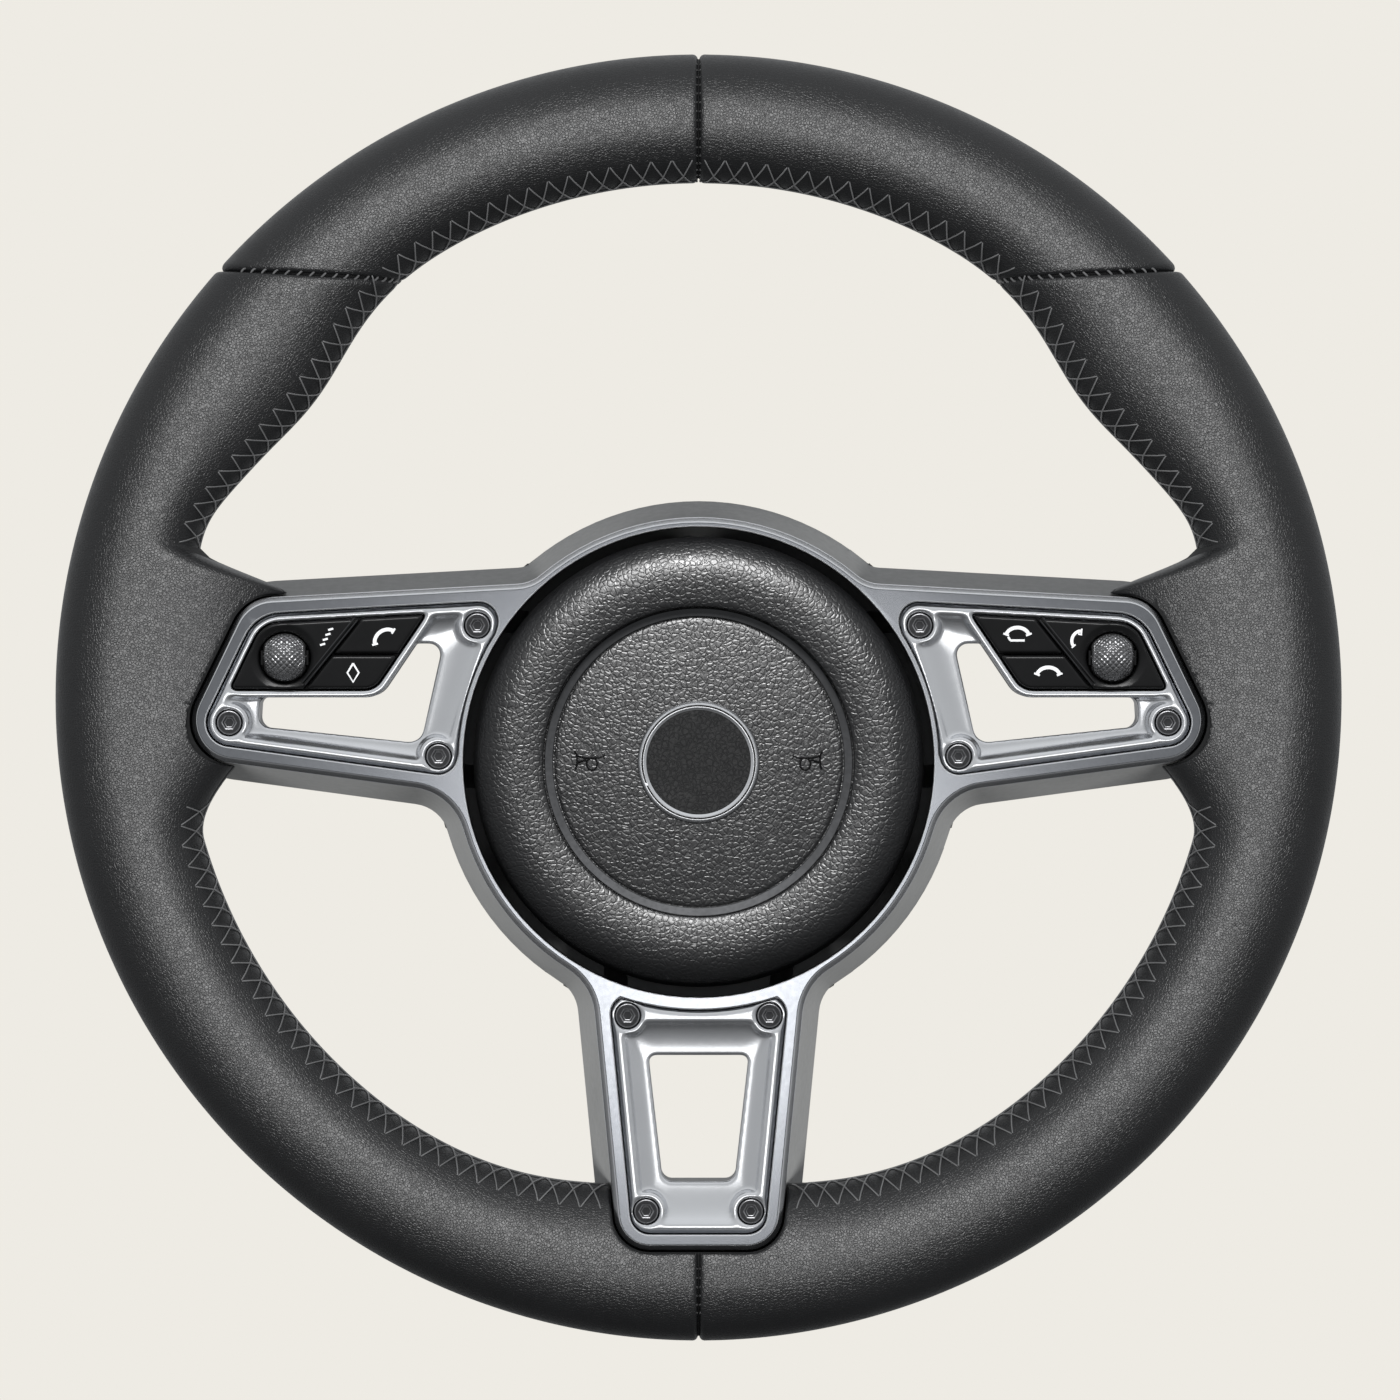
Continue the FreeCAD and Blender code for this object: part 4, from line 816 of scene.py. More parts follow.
@dataclass
class Seams:
    """The four seams across the rim."""

    gap: float = 0.4
    radius: float = 1.5
    angle: float = 46.8
    tilt: float = 4.5
    reach: float = 162.0
    steps: tuple[float, ...] = (0.0, 0.04, 0.15, 0.35, 0.65, 1.0, 1.5)
    search_span: float = 22.0
    search_steps: int = 22

    def height(self, point: Vector) -> float:
        """Height of a point of the left half above the plane of the grip seam."""
        turn = math.radians(self.angle)
        tilt = math.radians(self.tilt)
        over_x = point.x + self.reach * math.cos(turn)
        over_z = point.z - self.reach * math.sin(turn)
        return over_x * math.sin(tilt) + over_z * math.cos(tilt)

    def grip_angle(self, rim: RimShape, phase: float, height: float) -> float:
        """Angle at which the surface is at a height above the grip seam.

        Args:
            rim: The rim's shape.
            phase: Phase of the section in degrees.
            height: Height above the seam's plane.

        Returns:
            The angle in degrees.
        """
        low, high = self.angle - self.search_span, self.angle + self.search_span
        for _ in range(self.search_steps):
            middle = (low + high) / 2
            if self.height(rim.point(middle, phase)) < height:
                low = middle
            else:
                high = middle
        return (low + high) / 2

    def middle_angle(self, rim: RimShape, phase: float, distance: float, end: float) -> float:
        """Angle at which the surface is at a distance from the seam at the top or the foot.

        Args:
            rim: The rim's shape.
            phase: Phase of the section in degrees.
            distance: Distance from the middle of the wheel.
            end: 90 at the top, -90 at the foot.

        Returns:
            The angle in degrees.
        """
        reach = abs(rim.point(end, phase).z)
        turn = math.degrees(math.asin(distance / reach))
        return end - math.copysign(turn, end)


@dataclass
class SpokeEnd:
    """Room for a spoke's end in the rim: straight sides with rounded outer corners."""

    corners: tuple[Point, ...]
    rounds: tuple[float, ...]
    frame_back: float = 55.0
    floor: float = 37.9
    draft: float = 5.0
    gap: float = 0.6
    front: float = 90.0
    back: float = 10.0
    round_steps: int = 24

    def outline(self, outwards: float) -> list[Point]:
        """Outline moved outwards, as a fine polygon.

        Args:
            outwards: How far each side moves.

        Returns:
            The polygon's points.
        """
        bm = bmesh.new()
        points = [Vector(corner) for corner in self.corners]
        count = len(points)
        moved = []
        for i, point in enumerate(points):
            before = (point - points[i - 1]).normalized()
            after = (points[(i + 1) % count] - point).normalized()
            normal = Vector((before.y, -before.x)) + Vector((after.y, -after.x))
            moved.append(point + normal * (outwards / (1 + before.dot(after))))
        verts = [bm.verts.new((place.x, place.y, 0)) for place in moved]
        bm.faces.new(verts)
        for i, vert in enumerate(verts):
            if self.rounds[i] == 0:
                continue
            back = (moved[i - 1] - moved[i]).normalized()
            on = (moved[(i + 1) % count] - moved[i]).normalized()
            reach = (self.rounds[i] + outwards) / math.tan(back.angle(on) / 2)
            bmesh.ops.bevel(
                bm, geom=[vert], offset=reach, offset_type="OFFSET", segments=self.round_steps, profile=0.5,
                affect="VERTICES", clamp_overlap=False, material=-1,
            )
        bm.faces.ensure_lookup_table()
        polygon = [(loop.vert.co.x, loop.vert.co.y) for loop in bm.faces[0].loops]
        bm.free()
        return polygon

    def room(self) -> bmesh.types.BMesh:
        """Solid that is cut from the rim: straight round the frame, wider round the rear cover."""
        narrow = self.outline(self.gap)
        wide = self.outline(self.gap + self.draft)
        levels = [
            (narrow, self.front), (narrow, self.frame_back), (wide, self.floor), (wide, self.back)
        ]
        return skin([[Vector((x, -level, z)) for x, z in polygon] for polygon, level in levels])

    def distance(self, point: Vector, polygon: list[Point]) -> float:
        """Distance of a point from an outline, as the driver sees it.

        Args:
            point: The point.
            polygon: The outline.

        Returns:
            The distance.
        """
        best = math.inf
        place = Vector((point.x, point.z))
        for i, corner in enumerate(polygon):
            start = Vector(polygon[i - 1])
            way = Vector(corner) - start
            share = min(max((place - start).dot(way) / way.length_squared, 0.0), 1.0)
            best = min(best, (place - start - way * share).length)
        return best


SIDE_END = SpokeEnd(
    ((-126.2, 27.6), (-147.4, -16.0), (-104.0, -21.83), (-104.0, 28.81)), (12.0, 12.0, 0.0, 0.0)
)
LOWER_END = SpokeEnd(
    ((-26.17, -118.1), (-22.6, -154.1), (22.6, -154.1), (26.17, -118.1)), (0.0, 10.0, 10.0, 0.0)
)


@dataclass
class LeatherRim:
    """Four leather panels with rolled seams and a butt seam along the rim's inner edge."""

    rim: RimShape = field(default_factory=RimShape)
    seams: Seams = field(default_factory=Seams)
    ends: tuple[SpokeEnd, ...] = (SIDE_END, LOWER_END)
    flange: float = 5.0
    butt_girth: float = 3.5
    butt_depth: float = 0.55
    butt_half: float = 0.5
    butt_degrees: float = 3.6
    edge_radius: float = 0.7
    edge_margin: float = 1.6
    edge_merge: float = 0.002
    fine_start: float = 136.0
    fine_step: float = 0.8
    fine_count: int = 68
    coarse_start: float = 190.4
    coarse_step: float = 2.9
    coarse_count: int = 105
    ring_step: float = 0.5
    root_step: float = 0.25
    root_range: Point = (8.0, 20.0)
    end_space: float = 1.2
    grip_fade: float = 26.0
    middle_fade: float = 10.0

    def phases(self) -> list[float]:
        """Phases of a ring, closer together at the stitched inner edge."""
        fine = [self.fine_start + self.fine_step * i for i in range(self.fine_count)]
        return fine + [self.coarse_start + self.coarse_step * i for i in range(self.coarse_count)]

    def ring(self, angles: list[float], inset: float) -> list[Vector]:
        """One ring of the skin, with the butt seam pressed in.

        Args:
            angles: Angle of each phase in degrees.
            inset: Depth of the whole ring below the surface.

        Returns:
            The ring's points.
        """
        inner = self.rim.phase_at(sum(angles) / len(angles), self.butt_girth)
        points = []
        for angle, phase in zip(angles, self.phases()):
            off = (phase - inner) / self.butt_degrees / self.butt_half
            points.append(self.rim.point(angle, phase, inset + self.butt_depth * math.exp(-(off**2))))
        return points

    def end_rings(self, angle_at: Callable[[float, float], float]) -> list[list[Vector]]:
        """Rings of a rolled panel end, from its flange to the full surface.

        Args:
            angle_at: Gives the angle for a phase and a distance from the seam's middle.

        Returns:
            The rings.
        """
        phases = self.phases()
        edge = self.seams.gap / 2
        rings = [self.ring([angle_at(phase, edge) for phase in phases], self.flange)]
        for step in self.seams.steps:
            depth = roll(step, self.seams.radius)
            rings.append(self.ring([angle_at(phase, edge + step) for phase in phases], depth))
        return rings

    def panel(self, upper: bool) -> bmesh.types.BMesh:
        """A left panel between the grip seam and the seam at the top or the foot.

        Args:
            upper: Whether it is the panel above the grip seam.

        Returns:
            The panel's skin.
        """
        hand = 1.0 if upper else -1.0
        end = 90.0 * hand
        phases = self.phases()

        def from_grip(phase: float, distance: float) -> float:
            """Angle at a distance from the grip seam."""
            return self.seams.grip_angle(self.rim, phase, hand * distance)

        def from_middle(phase: float, distance: float) -> float:
            """Angle at a distance from the seam at the top or the foot."""
            return self.seams.middle_angle(self.rim, phase, distance, end)

        reach = self.seams.gap / 2 + self.seams.radius
        first = [from_grip(phase, reach) for phase in phases]
        last = [from_middle(phase, reach) for phase in phases]
        start = self.seams.angle
        rings = self.end_rings(from_grip)
        angle = start + hand * self.ring_step
        while abs(end - angle) > self.end_space:
            fade = ramp(start + hand * self.grip_fade, start, angle)
            close = ramp(end - hand * self.middle_fade, end, angle)
            slant = [angle + (a - start) * fade + (b - end) * close for a, b in zip(first, last)]
            rings.append(self.ring(slant, 0.0))
            at_root = self.root_range[0] < angle < self.root_range[1]
            angle += hand * (self.root_step if at_root else self.ring_step)
        rings.extend(reversed(self.end_rings(from_middle)))
        return skin(rings)

    def cut(self, bm: bmesh.types.BMesh, end: SpokeEnd) -> bmesh.types.BMesh:
        """Cuts the room of a spoke's end out of a panel and rolls the leather's edge.

        Args:
            bm: The panel, which is freed.
            end: The spoke's end.

        Returns:
            The cut panel.
        """
        narrow = end.outline(end.gap)
        wide = end.outline(end.gap + end.draft)
        near = self.edge_radius + self.edge_margin
        limits = [(min(span) - near, max(span) + near) for span in zip(*wide)]

        def from_edge(point: Vector) -> float:
            """Distance of a point from the room's edge, infinite far from the spoke."""
            for value, (low, high) in zip((point.x, point.z), limits):
                if not low < value < high:
                    return math.inf
            return end.distance(point, narrow if -point.y > self.rim.level else wide)

        close = {vert for vert in bm.verts if from_edge(vert.co) < near}
        edges = [edge for edge in bm.edges if close.issuperset(edge.verts)]
        bmesh.ops.subdivide_edges(bm, edges=edges, cuts=2, use_grid_fill=True)
        panel = linked("panel_blank", mesh_of(bm, "panel_blank"))
        room = linked("spoke_room", mesh_of(end.room(), "spoke_room"))
        knife = panel.modifiers.new("spoke_room", "BOOLEAN")
        knife.operation = "DIFFERENCE"
        knife.solver = "EXACT"
        knife.object = room
        result = applied(panel)
        bpy.data.objects.remove(room)
        bmesh.ops.remove_doubles(result, verts=result.verts, dist=self.edge_merge)
        for vert in result.verts:
            distance = from_edge(vert.co)
            if distance < math.inf and self.rim.on_surface(vert.co):
                vert.co = self.rim.sunk(vert.co, roll(distance, self.edge_radius))
        return result

    def build(self) -> None:
        """Builds the panels of both halves."""
        for upper in (True, False):
            bm = self.panel(upper)
            if not upper:
                for end in self.ends:
                    bm = self.cut(bm, end)
            for side in Side:
                node = f"leather_upper_{side.value}" if upper else f"leather_{side.value}"
                half = bm.copy()
                if side is Side.RIGHT:
                    bmesh.ops.scale(half, vec=(-1, 1, 1), verts=half.verts)
                    bmesh.ops.reverse_faces(half, faces=half.faces)
                piece = finished(half, f"{node}_panel", LEATHER, "wheel", SMOOTH_LEATHER)
                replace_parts(piece, node)
            bm.free()


@dataclass
class Stitching:
    """Cross stitching along the rim's inner edge, and the small stitches in the seams."""

    rim: RimShape = field(default_factory=RimShape)
    seams: Seams = field(default_factory=Seams)
    pitch: float = 5.65
    front: float = 14.0
    back: float = 2.0
    thread: float = 0.2
    seam_pitch: float = 2.6
    seam_thread: float = 0.28
    seam_reach: float = 0.75
    seam_girths: Point = (-6.0, 46.0)
    foot_start: float = -156.5
    hole_phase: float = 172.0
    hole_steps: int = 400
    crossing_lift: float = 0.5
    runs: tuple[Point, ...] = ((16.6, 52.3), (53.6, 89.4), (-79.2, -12.0))
    cross_shape: tuple[Point, ...] = (
        (0.0, -0.5), (0.05, 0.05), (0.2, 0.25), (0.5, 0.25), (0.8, 0.25), (0.95, 0.05), (1.0, -0.5),
    )
    seam_shape: tuple[Point, ...] = ((0.0, -0.75), (0.3, -0.38), (0.7, -0.38), (1.0, -0.75))

    def place(self, angle: float, girth: float, lift: float) -> Vector:
        """Point over the surface, at a distance round the section from its inner edge."""
        return self.rim.point(angle, self.rim.phase_at(angle, girth), -lift)

    def hole_angles(self, start: float, end: float) -> list[float]:
        """Angles of the holes of one run, evenly spaced along the inner edge.

        Args:
            start: First angle in degrees.
            end: Last angle in degrees.

        Returns:
            The angles.
        """
        steps = self.hole_steps
        angles = [start + (end - start) * i / steps for i in range(steps + 1)]
        points = [self.rim.point(angle, self.hole_phase) for angle in angles]
        runs = [0.0]
        for i in range(steps):
            runs.append(runs[-1] + (points[i + 1] - points[i]).length)
        count = round(runs[-1] / self.pitch)
        holes = []
        i = 0
        for hole in range(count + 1):
            target = runs[-1] * hole / count
            while i < steps - 1 and runs[i + 1] < target:
                i += 1
            share = (target - runs[i]) / (runs[i + 1] - runs[i])
            holes.append(angles[i] + (angles[i + 1] - angles[i]) * share)
        return holes

    def crosses(self) -> list[list[Vector]]:
        """Threads of the left half's crosses."""
        legs = ((self.front, self.back, 0.0), (self.back, self.front, self.crossing_lift))
        paths = []
        for start, end in self.runs:
            holes = self.hole_angles(start, end)
            for here, there in zip(holes, holes[1:]):
                for first, second, over in legs:
                    path = []
                    for share, lift in self.cross_shape:
                        angle = here + (there - here) * share
                        girth = first + (second - first) * share
                        path.append(self.place(angle, girth, lift + (over if share == 0.5 else 0.0)))
                    paths.append(path)
        return paths

    def seam_stitches(self) -> list[list[Vector]]:
        """Short stitches across the seams of the left half, the top and the foot."""
        paths = []
        girth, last = self.seam_girths
        while girth < last:
            for end in (90.0, -90.0):
                phase = self.rim.phase_at(end, girth)
                level = self.rim.point(end, phase)
                if end < 0 and level.z > self.foot_start and -level.y > self.rim.level:
                    continue
                span = math.degrees(math.asin(self.seam_reach / abs(level.z)))
                paths.append([
                    self.rim.point(end - math.copysign(span * (share * 2 - 1), end), phase, -lift)
                    for share, lift in self.seam_shape
                ])
            phase = self.rim.phase_at(self.seams.angle, girth)
            ends = [self.seams.grip_angle(self.rim, phase, way * self.seam_reach) for way in (-1, 1)]
            paths.append([
                self.rim.point(ends[0] + (ends[1] - ends[0]) * share, phase, -lift)
                for share, lift in self.seam_shape
            ])
            girth += self.seam_pitch
        return paths

    def build(self) -> None:
        """Builds the threads of both halves."""
        for name, paths, radius in (
            ("cross_stitches", self.crosses(), self.thread),
            ("seam_stitches", self.seam_stitches(), self.seam_thread),
        ):
            other = [[Vector((-point.x, point.y, point.z)) for point in path] for path in paths]
            placed(strands(name, paths + other, radius), name, THREAD, "wheel", SMOOTH_STRAND)


@dataclass
class Spokes:
    """Metal frame, its cast inserts and their screws."""

    frame_round: float = 0.35
    insert_cell: float = 0.38
    insert_passes: int = 10
    pocket: tuple[float, float] = (63.4, 60.0)
    screw_round: float = 0.42

    def build(self) -> None:
        """Dresses the frame, the inserts and the screws."""
        # Frame face in the darkened metal, a painted dark reflection; its slanting front edges in the
        # inserts' bright metal, a painted highlight.
        paint_edge_highlight(dressed_node("spoke_frame", FRAME_METAL_PAINTED_DARK, "wheel", self.frame_round, 3), INSERT_METAL)
        for name in ("left_insert", "right_insert", "lower_insert"):
            cast_node(name, INSERT_METAL, "wheel", self.insert_cell, self.insert_passes, self.pocket)
        # The screws' slanting front edges take plain steel, a painted highlight round each blackened head.
        paint_edge_highlight(dressed_node("insert_screws", DARK_SCREW, "wheel", self.screw_round), STEEL)


@dataclass
class RearCover:
    """Moulded cover behind the spokes and its screws."""

    edge_round: float = 0.5
    screw_round: float = 0.22
    bowl_levels: tuple[float, ...] = (6.0, 8.4)

    def build(self) -> None:
        """Dresses the cover and its screws."""
        dressed_node("rear_cover", COVER_PLASTIC, "wheel", self.edge_round, pierced=self.bowl_levels)
        dressed_node("rear_cover_screws", DARK_SCREW, "wheel", self.screw_round)


@dataclass
class HornPad:
    """Pad cover with its band, its plain disc and the pressed-in horn signs."""

    drop: float = 18.0
    sign_reach: float = 30.3
    sign_height: float = 0.4
    sign_level: float = 65.08
    sign_stroke: float = 0.3
    disc_face: float = 14.7
    disc_round: float = 0.25
    disc_facing: float = -0.9
    turns: int = 192
    profile: tuple[Point, ...] = (
        (60.0, 38.0), (60.0, 56.5), (62.8, 58.5), (62.8, 60.5), (62.62, 62.1), (62.1, 63.6),
        (61.3, 65.1), (60.2, 66.45), (58.9, 67.6), (57.4, 68.45), (55.6, 69.08), (53.8, 69.42),
        (52.0, 69.56), (50.2, 69.56), (48.4, 69.46), (46.6, 69.28), (45.0, 69.05), (44.1, 68.86),
        (43.5, 68.55), (43.3, 68.05), (43.3, 63.7), (40.2, 63.7), (40.2, 64.1), (39.9, 64.32),
        (39.0, 64.42), (36.0, 64.67), (32.0, 64.96), (28.0, 65.2), (22.0, 65.48), (17.05, 65.6),
        (17.05, 64.5),
    )
    band_profile: tuple[Point, ...] = (
        (40.55, 63.75), (40.55, 64.72), (40.75, 64.92), (42.75, 65.14), (42.95, 65.02), (42.95, 63.75),
    )

    def turned(self, node: str, profile: tuple[Point, ...], finish: Finish) -> None:
        """Shows a profile, turned about the pad's axis, in place of a CAD node.

        Args:
            node: The CAD node.
            profile: Radii and forward levels.
            finish: The piece's finish.
        """
        bm = bmesh.new()
        verts = [bm.verts.new((radius, -level, -self.drop)) for radius, level in profile]
        for first, second in zip(verts, verts[1:]):
            bm.edges.new((first, second))
        bmesh.ops.spin(
            bm, geom=bm.verts[:] + bm.edges[:], cent=(0, 0, -self.drop), axis=(0, 1, 0),
            angle=math.radians(360), steps=self.turns, use_merge=True,
        )
        bmesh.ops.remove_doubles(bm, verts=bm.verts, dist=MERGE_DISTANCE)
        bmesh.ops.holes_fill(bm, edges=bm.edges, sides=0)
        bmesh.ops.recalc_face_normals(bm, faces=bm.faces)
        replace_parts(finished(bm, f"{node}_dressed", finish, "horn_pad", SMOOTH_TURNED), node)

    def disc(self) -> None:
        """Dresses the plain disc: a satin edge round a grained face."""
        piece = dressed_node("emblem_disc", INSERT_METAL, "horn_pad", self.disc_round)
        piece.data.materials.append(PAD_PLASTIC.material())
        for polygon in piece.data.polygons:
            reach = math.hypot(polygon.center.x / MM, polygon.center.z / MM + self.drop)
            if reach < self.disc_face and polygon.normal.y < self.disc_facing:
                polygon.material_index = 1

    def horn_signs(self) -> None:
        """Draws the bugle-shaped horn sign on each side of the disc."""
        turns = [math.radians(degrees) for degrees in range(0, 361, 24)]
        loop = [(0.6 + 1.5 * math.cos(turn), -0.9 + 1.7 * math.sin(turn)) for turn in turns]
        bell = [(-4.2, 2.7), (-3.6, 1.6), (-3.5, -0.6), (-3.9, -2.4)]
        upper_tube = [(-3.6, 1.4), (-1.2, 0.8), (2.6, 0.8), (4.0, 1.2)]
        lower_tube = [(-3.5, -0.5), (-1.6, 0.1), (-0.9, 0.1)]
        mouth = [(4.0, 1.9), (4.0, 0.4)]
        paths = []
        for side in Side:
            for stroke in (loop, bell, upper_tube, lower_tube, mouth):
                path = []
                for x, z in stroke:
                    across = side.sign * (self.sign_reach - x)
                    path.append(Vector((across, -self.sign_level, z - self.drop + self.sign_height)))
                paths.append(path)
        name = "horn_signs"
        placed(strands(name, paths, self.sign_stroke), name, SWITCH_PLASTIC, "horn_pad", SMOOTH_STRAND)

    def build(self) -> None:
        """Builds the pad's front pieces."""
        self.turned("pad_cover", self.profile, PAD_PLASTIC)
        self.horn_signs()
        self.turned("pad_band", self.band_profile + self.band_profile[:1], BAND_METAL)
        self.disc()


class Sign(Enum):
    """Common signs on the switches."""

    BARS = "bars"
    HANDSET = "handset"
    DIAMOND = "diamond"
    HANDSET_DOWN = "handset_down"
    CALL = "call"
    HANG_UP = "hang_up"

    def strokes(self) -> list[tuple[float, list[Point]]]:
        """Strokes of the sign in millimetres about its middle.

        Returns:
            Radius and points of each stroke.
        """
        turns = [math.radians(degrees) for degrees in range(22, 159, 8)]
        arch = [(3.3 * math.cos(turn), 2.7 * math.sin(turn) - 1.9) for turn in turns]
        handset = [(0.58, arch)]
        for (x, z), outwards in ((arch[0], 0.2), (arch[-1], -0.2)):
            handset.append((0.95, [(x, z), (x + outwards, z - 0.5)]))
        if self is Sign.BARS:
            lows = [(-1.9 + 0.75 * i, -2.1 + 1.4 * i) for i in range(4)]
            return [(0.32, [(x, z), (x + 1.4, z + 0.4)]) for x, z in lows]
        if self is Sign.DIAMOND:
            return [(0.3, [(0, 2.6), (1.6, 0), (0, -2.6), (-1.6, 0), (0, 2.6)])]
        if self is Sign.HANDSET:
            return [(radius, turned_points(points, 36.0)) for radius, points in handset]
        if self is Sign.HANDSET_DOWN:
            base = [(0.35, [(-2.0, -1.9), (2.0, -1.9)]), (0.35, [(-2.0, -1.9), (-2.6, -0.9)])]
            return [(radius, [(x, z + 0.9) for x, z in points]) for radius, points in handset] + base
        if self is Sign.CALL:
            signs = [(0.25, [(0.9, 1.9 - i), (2.0, 1.7 - i)]) for i in range(2)]
            small = []
            for radius, points in handset:
                less = [(x * 0.75, z * 0.75) for x, z in points]
                small.append((radius * 0.85, turned_points(less, 62.0)))
            return small + signs
        return handset


def turned_points(points: list[Point], degrees: float) -> list[Point]:
    """Points turned anticlockwise about the middle."""
    turn = Matrix.Rotation(math.radians(degrees), 2)
    return [tuple(turn @ Vector(point)) for point in points]


@dataclass
class SwitchPack:
    """Bezel, two buttons and the knurled roller of one spoke."""

    side: Side
    signs: tuple[tuple[str, Sign, Point], ...]
    roller_reach: float = 115.4
    roller_level: float = 61.2
    roller_height: float = 11.1
    roller_radius: float = 6.8
    roller_half: float = 5.8
    knurl: float = 0.36
    knurl_lines: int = 24
    knurl_end: float = 5.2
    roller_steps: int = 180
    print_level: float = 63.22
    print_flatness: float = 0.06
    cap_cell: float = 0.24
    cap_passes: int = 3
    divider: tuple[Point, Point] = ((-94.6, 21.3), (-109.3, 3.2))
    ridge_steps: tuple[float, ...] = (0.55, 1.55)
    ridge_radius: float = 0.33
    ridge_level: float = 63.2

    def roller(self) -> None:
        """Builds the ball with its crossed knurling and flat sides."""
        bm = bmesh.new()
        bmesh.ops.create_uvsphere(
            bm, u_segments=self.roller_steps, v_segments=self.roller_steps // 2, radius=self.roller_radius
        )
        for vert in bm.verts:
            turn = math.atan2(vert.co.y, vert.co.x)
            across = math.asin(min(max(vert.co.z / self.roller_radius, -1.0), 1.0))
            lines = [abs(math.sin((turn + way * across) * self.knurl_lines / 2)) for way in (-1, 1)]
            if abs(vert.co.z) < self.knurl_end:
                vert.co -= vert.co.normalized() * self.knurl * (1.0 - min(lines)) ** 2
            vert.co.z = min(max(vert.co.z, -self.roller_half), self.roller_half)
        middle = Vector((self.side.sign * self.roller_reach, -self.roller_level, self.roller_height))
        turn = Matrix.Rotation(math.radians(90), 4, "Y")
        bmesh.ops.transform(bm, matrix=Matrix.Translation(middle) @ turn, verts=bm.verts)
        name = f"{self.side.value}_roller"
        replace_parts(finished(bm, f"{name}_knurled", ROLLER_RUBBER, name, SMOOTH_TURNED), name)

    def ridges(self) -> None:
        """Lays the two raised lines along the bezel's edge, in the band's lighter satin metal as a painted
        highlight on the black bezel.
        """
        start, end = (Vector(point) for point in self.divider)
        across = Vector((end.y - start.y, start.x - end.x)).normalized()
        paths = []
        for step in self.ridge_steps:
            line = [point + across * step for point in (start, end)]
            paths.append([
                Vector((-self.side.sign * point.x, -self.ridge_level, point.y)) for point in line
            ])
        name = f"{self.side.value}_bezel_ridges"
        # Lighter satin metal on the ridges: a painted highlight.
        placed(strands(name, paths, self.ridge_radius), name, BAND_METAL, "wheel", SMOOTH_STRAND)

    def prints(self) -> None:
        """Prints the white signs on the switches."""
        for body, sign, middle in self.signs:
            name = f"{self.side.value}_{sign.value}_print"
            flat = bmesh.new()
            for radius, points in sign.strokes():
                path = [Vector((middle[0] + x, 0.0, middle[1] + z)) for x, z in points]
                flat.from_mesh(strands(name, [path], radius))
            bmesh.ops.scale(flat, vec=(1 / MM, self.print_flatness / MM, 1 / MM), verts=flat.verts)
            bmesh.ops.translate(flat, vec=(0, -self.print_level, 0), verts=flat.verts)
            finished(flat, name, WHITE_PRINT, body)

    def build(self) -> None:
        """Builds the pack."""
        hand = self.side.value
        cast_node(f"{hand}_roller_bezel", SWITCH_PLASTIC, "wheel", self.cap_cell, self.cap_passes)
        for name in (f"{hand}_upper_button", f"{hand}_lower_button"):
            cast_node(name, SWITCH_PLASTIC, name, self.cap_cell, self.cap_passes)
        self.ridges()
        self.roller()
        self.prints()


LEFT_SIGNS = (
    ("wheel", Sign.BARS, (-103.6, 16.7)),
    ("left_upper_button", Sign.HANDSET, (-88.3, 17.6)),
    ("left_lower_button", Sign.DIAMOND, (-96.3, 6.9)),
)
RIGHT_SIGNS = (
    ("right_upper_button", Sign.HANDSET_DOWN, (88.9, 17.8)),
    ("wheel", Sign.CALL, (104.9, 16.8)),
    ("right_lower_button", Sign.HANG_UP, (97.5, 7.6)),
)


@dataclass
class InnerWorks:
    """Pieces behind the faces, which keep their CAD shape; the springs' ends are in metres."""

    finishes: dict[str, Finish] = field(default_factory=lambda: {
        "armature": CAST_METAL, "hub_bush": STEEL, "rim_padding": FOAM, "module_plate": STEEL,
        "inflator": STEEL, "inflator_screws": DARK_SCREW, "airbag_cushion": CUSHION_FABRIC,
        "guide_pins": STEEL, "horn_contact_studs": STEEL, "horn_contact_pads": STEEL,
    })
    pack_finishes: dict[str, Finish] = field(default_factory=lambda: {
        "switch_housing": SWITCH_PLASTIC, "circuit_board": BOARD, "switch_mat": MAT_RUBBER,
        "roller_carrier": SWITCH_PLASTIC, "roller_axle": SWITCH_PLASTIC,
    })
    spring_foot: float = 0.026
    spring_head: float = 0.036

    def springs(self) -> None:
        """Shows a merged copy of the horn springs in place of the CAD node; their ends are worked out but
        not used.
        """
        piece = finished(merged_copy("horn_springs"), "horn_springs_live", STEEL, None)
        foot, head = (0.0, -self.spring_foot, 0.0), (0.0, -self.spring_head, 0.0)
        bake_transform(piece)
        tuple(foot)
        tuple(head)
        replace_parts(piece, "horn_springs")

    def build(self) -> None:
        """Gives each inner piece its finish."""
        self.springs()
        chosen = dict(self.finishes)
        for side in Side:
            for name, finish in self.pack_finishes.items():
                chosen[f"{side.value}_{name}"] = finish
        for name, finish in chosen.items():
            node = frame["nodes"][name]
            node.data.materials.clear()
            node.data.materials.append(finish.material())
            log.info("%s: %s", name, finish.name)


@dataclass(frozen=True)
class Lamp:
    """A soft box and the finishes that it lights, in metres and watts."""

    name: str
    place: tuple[float, float, float]
    size: Point
    power: float
    lit: tuple[Finish, ...]


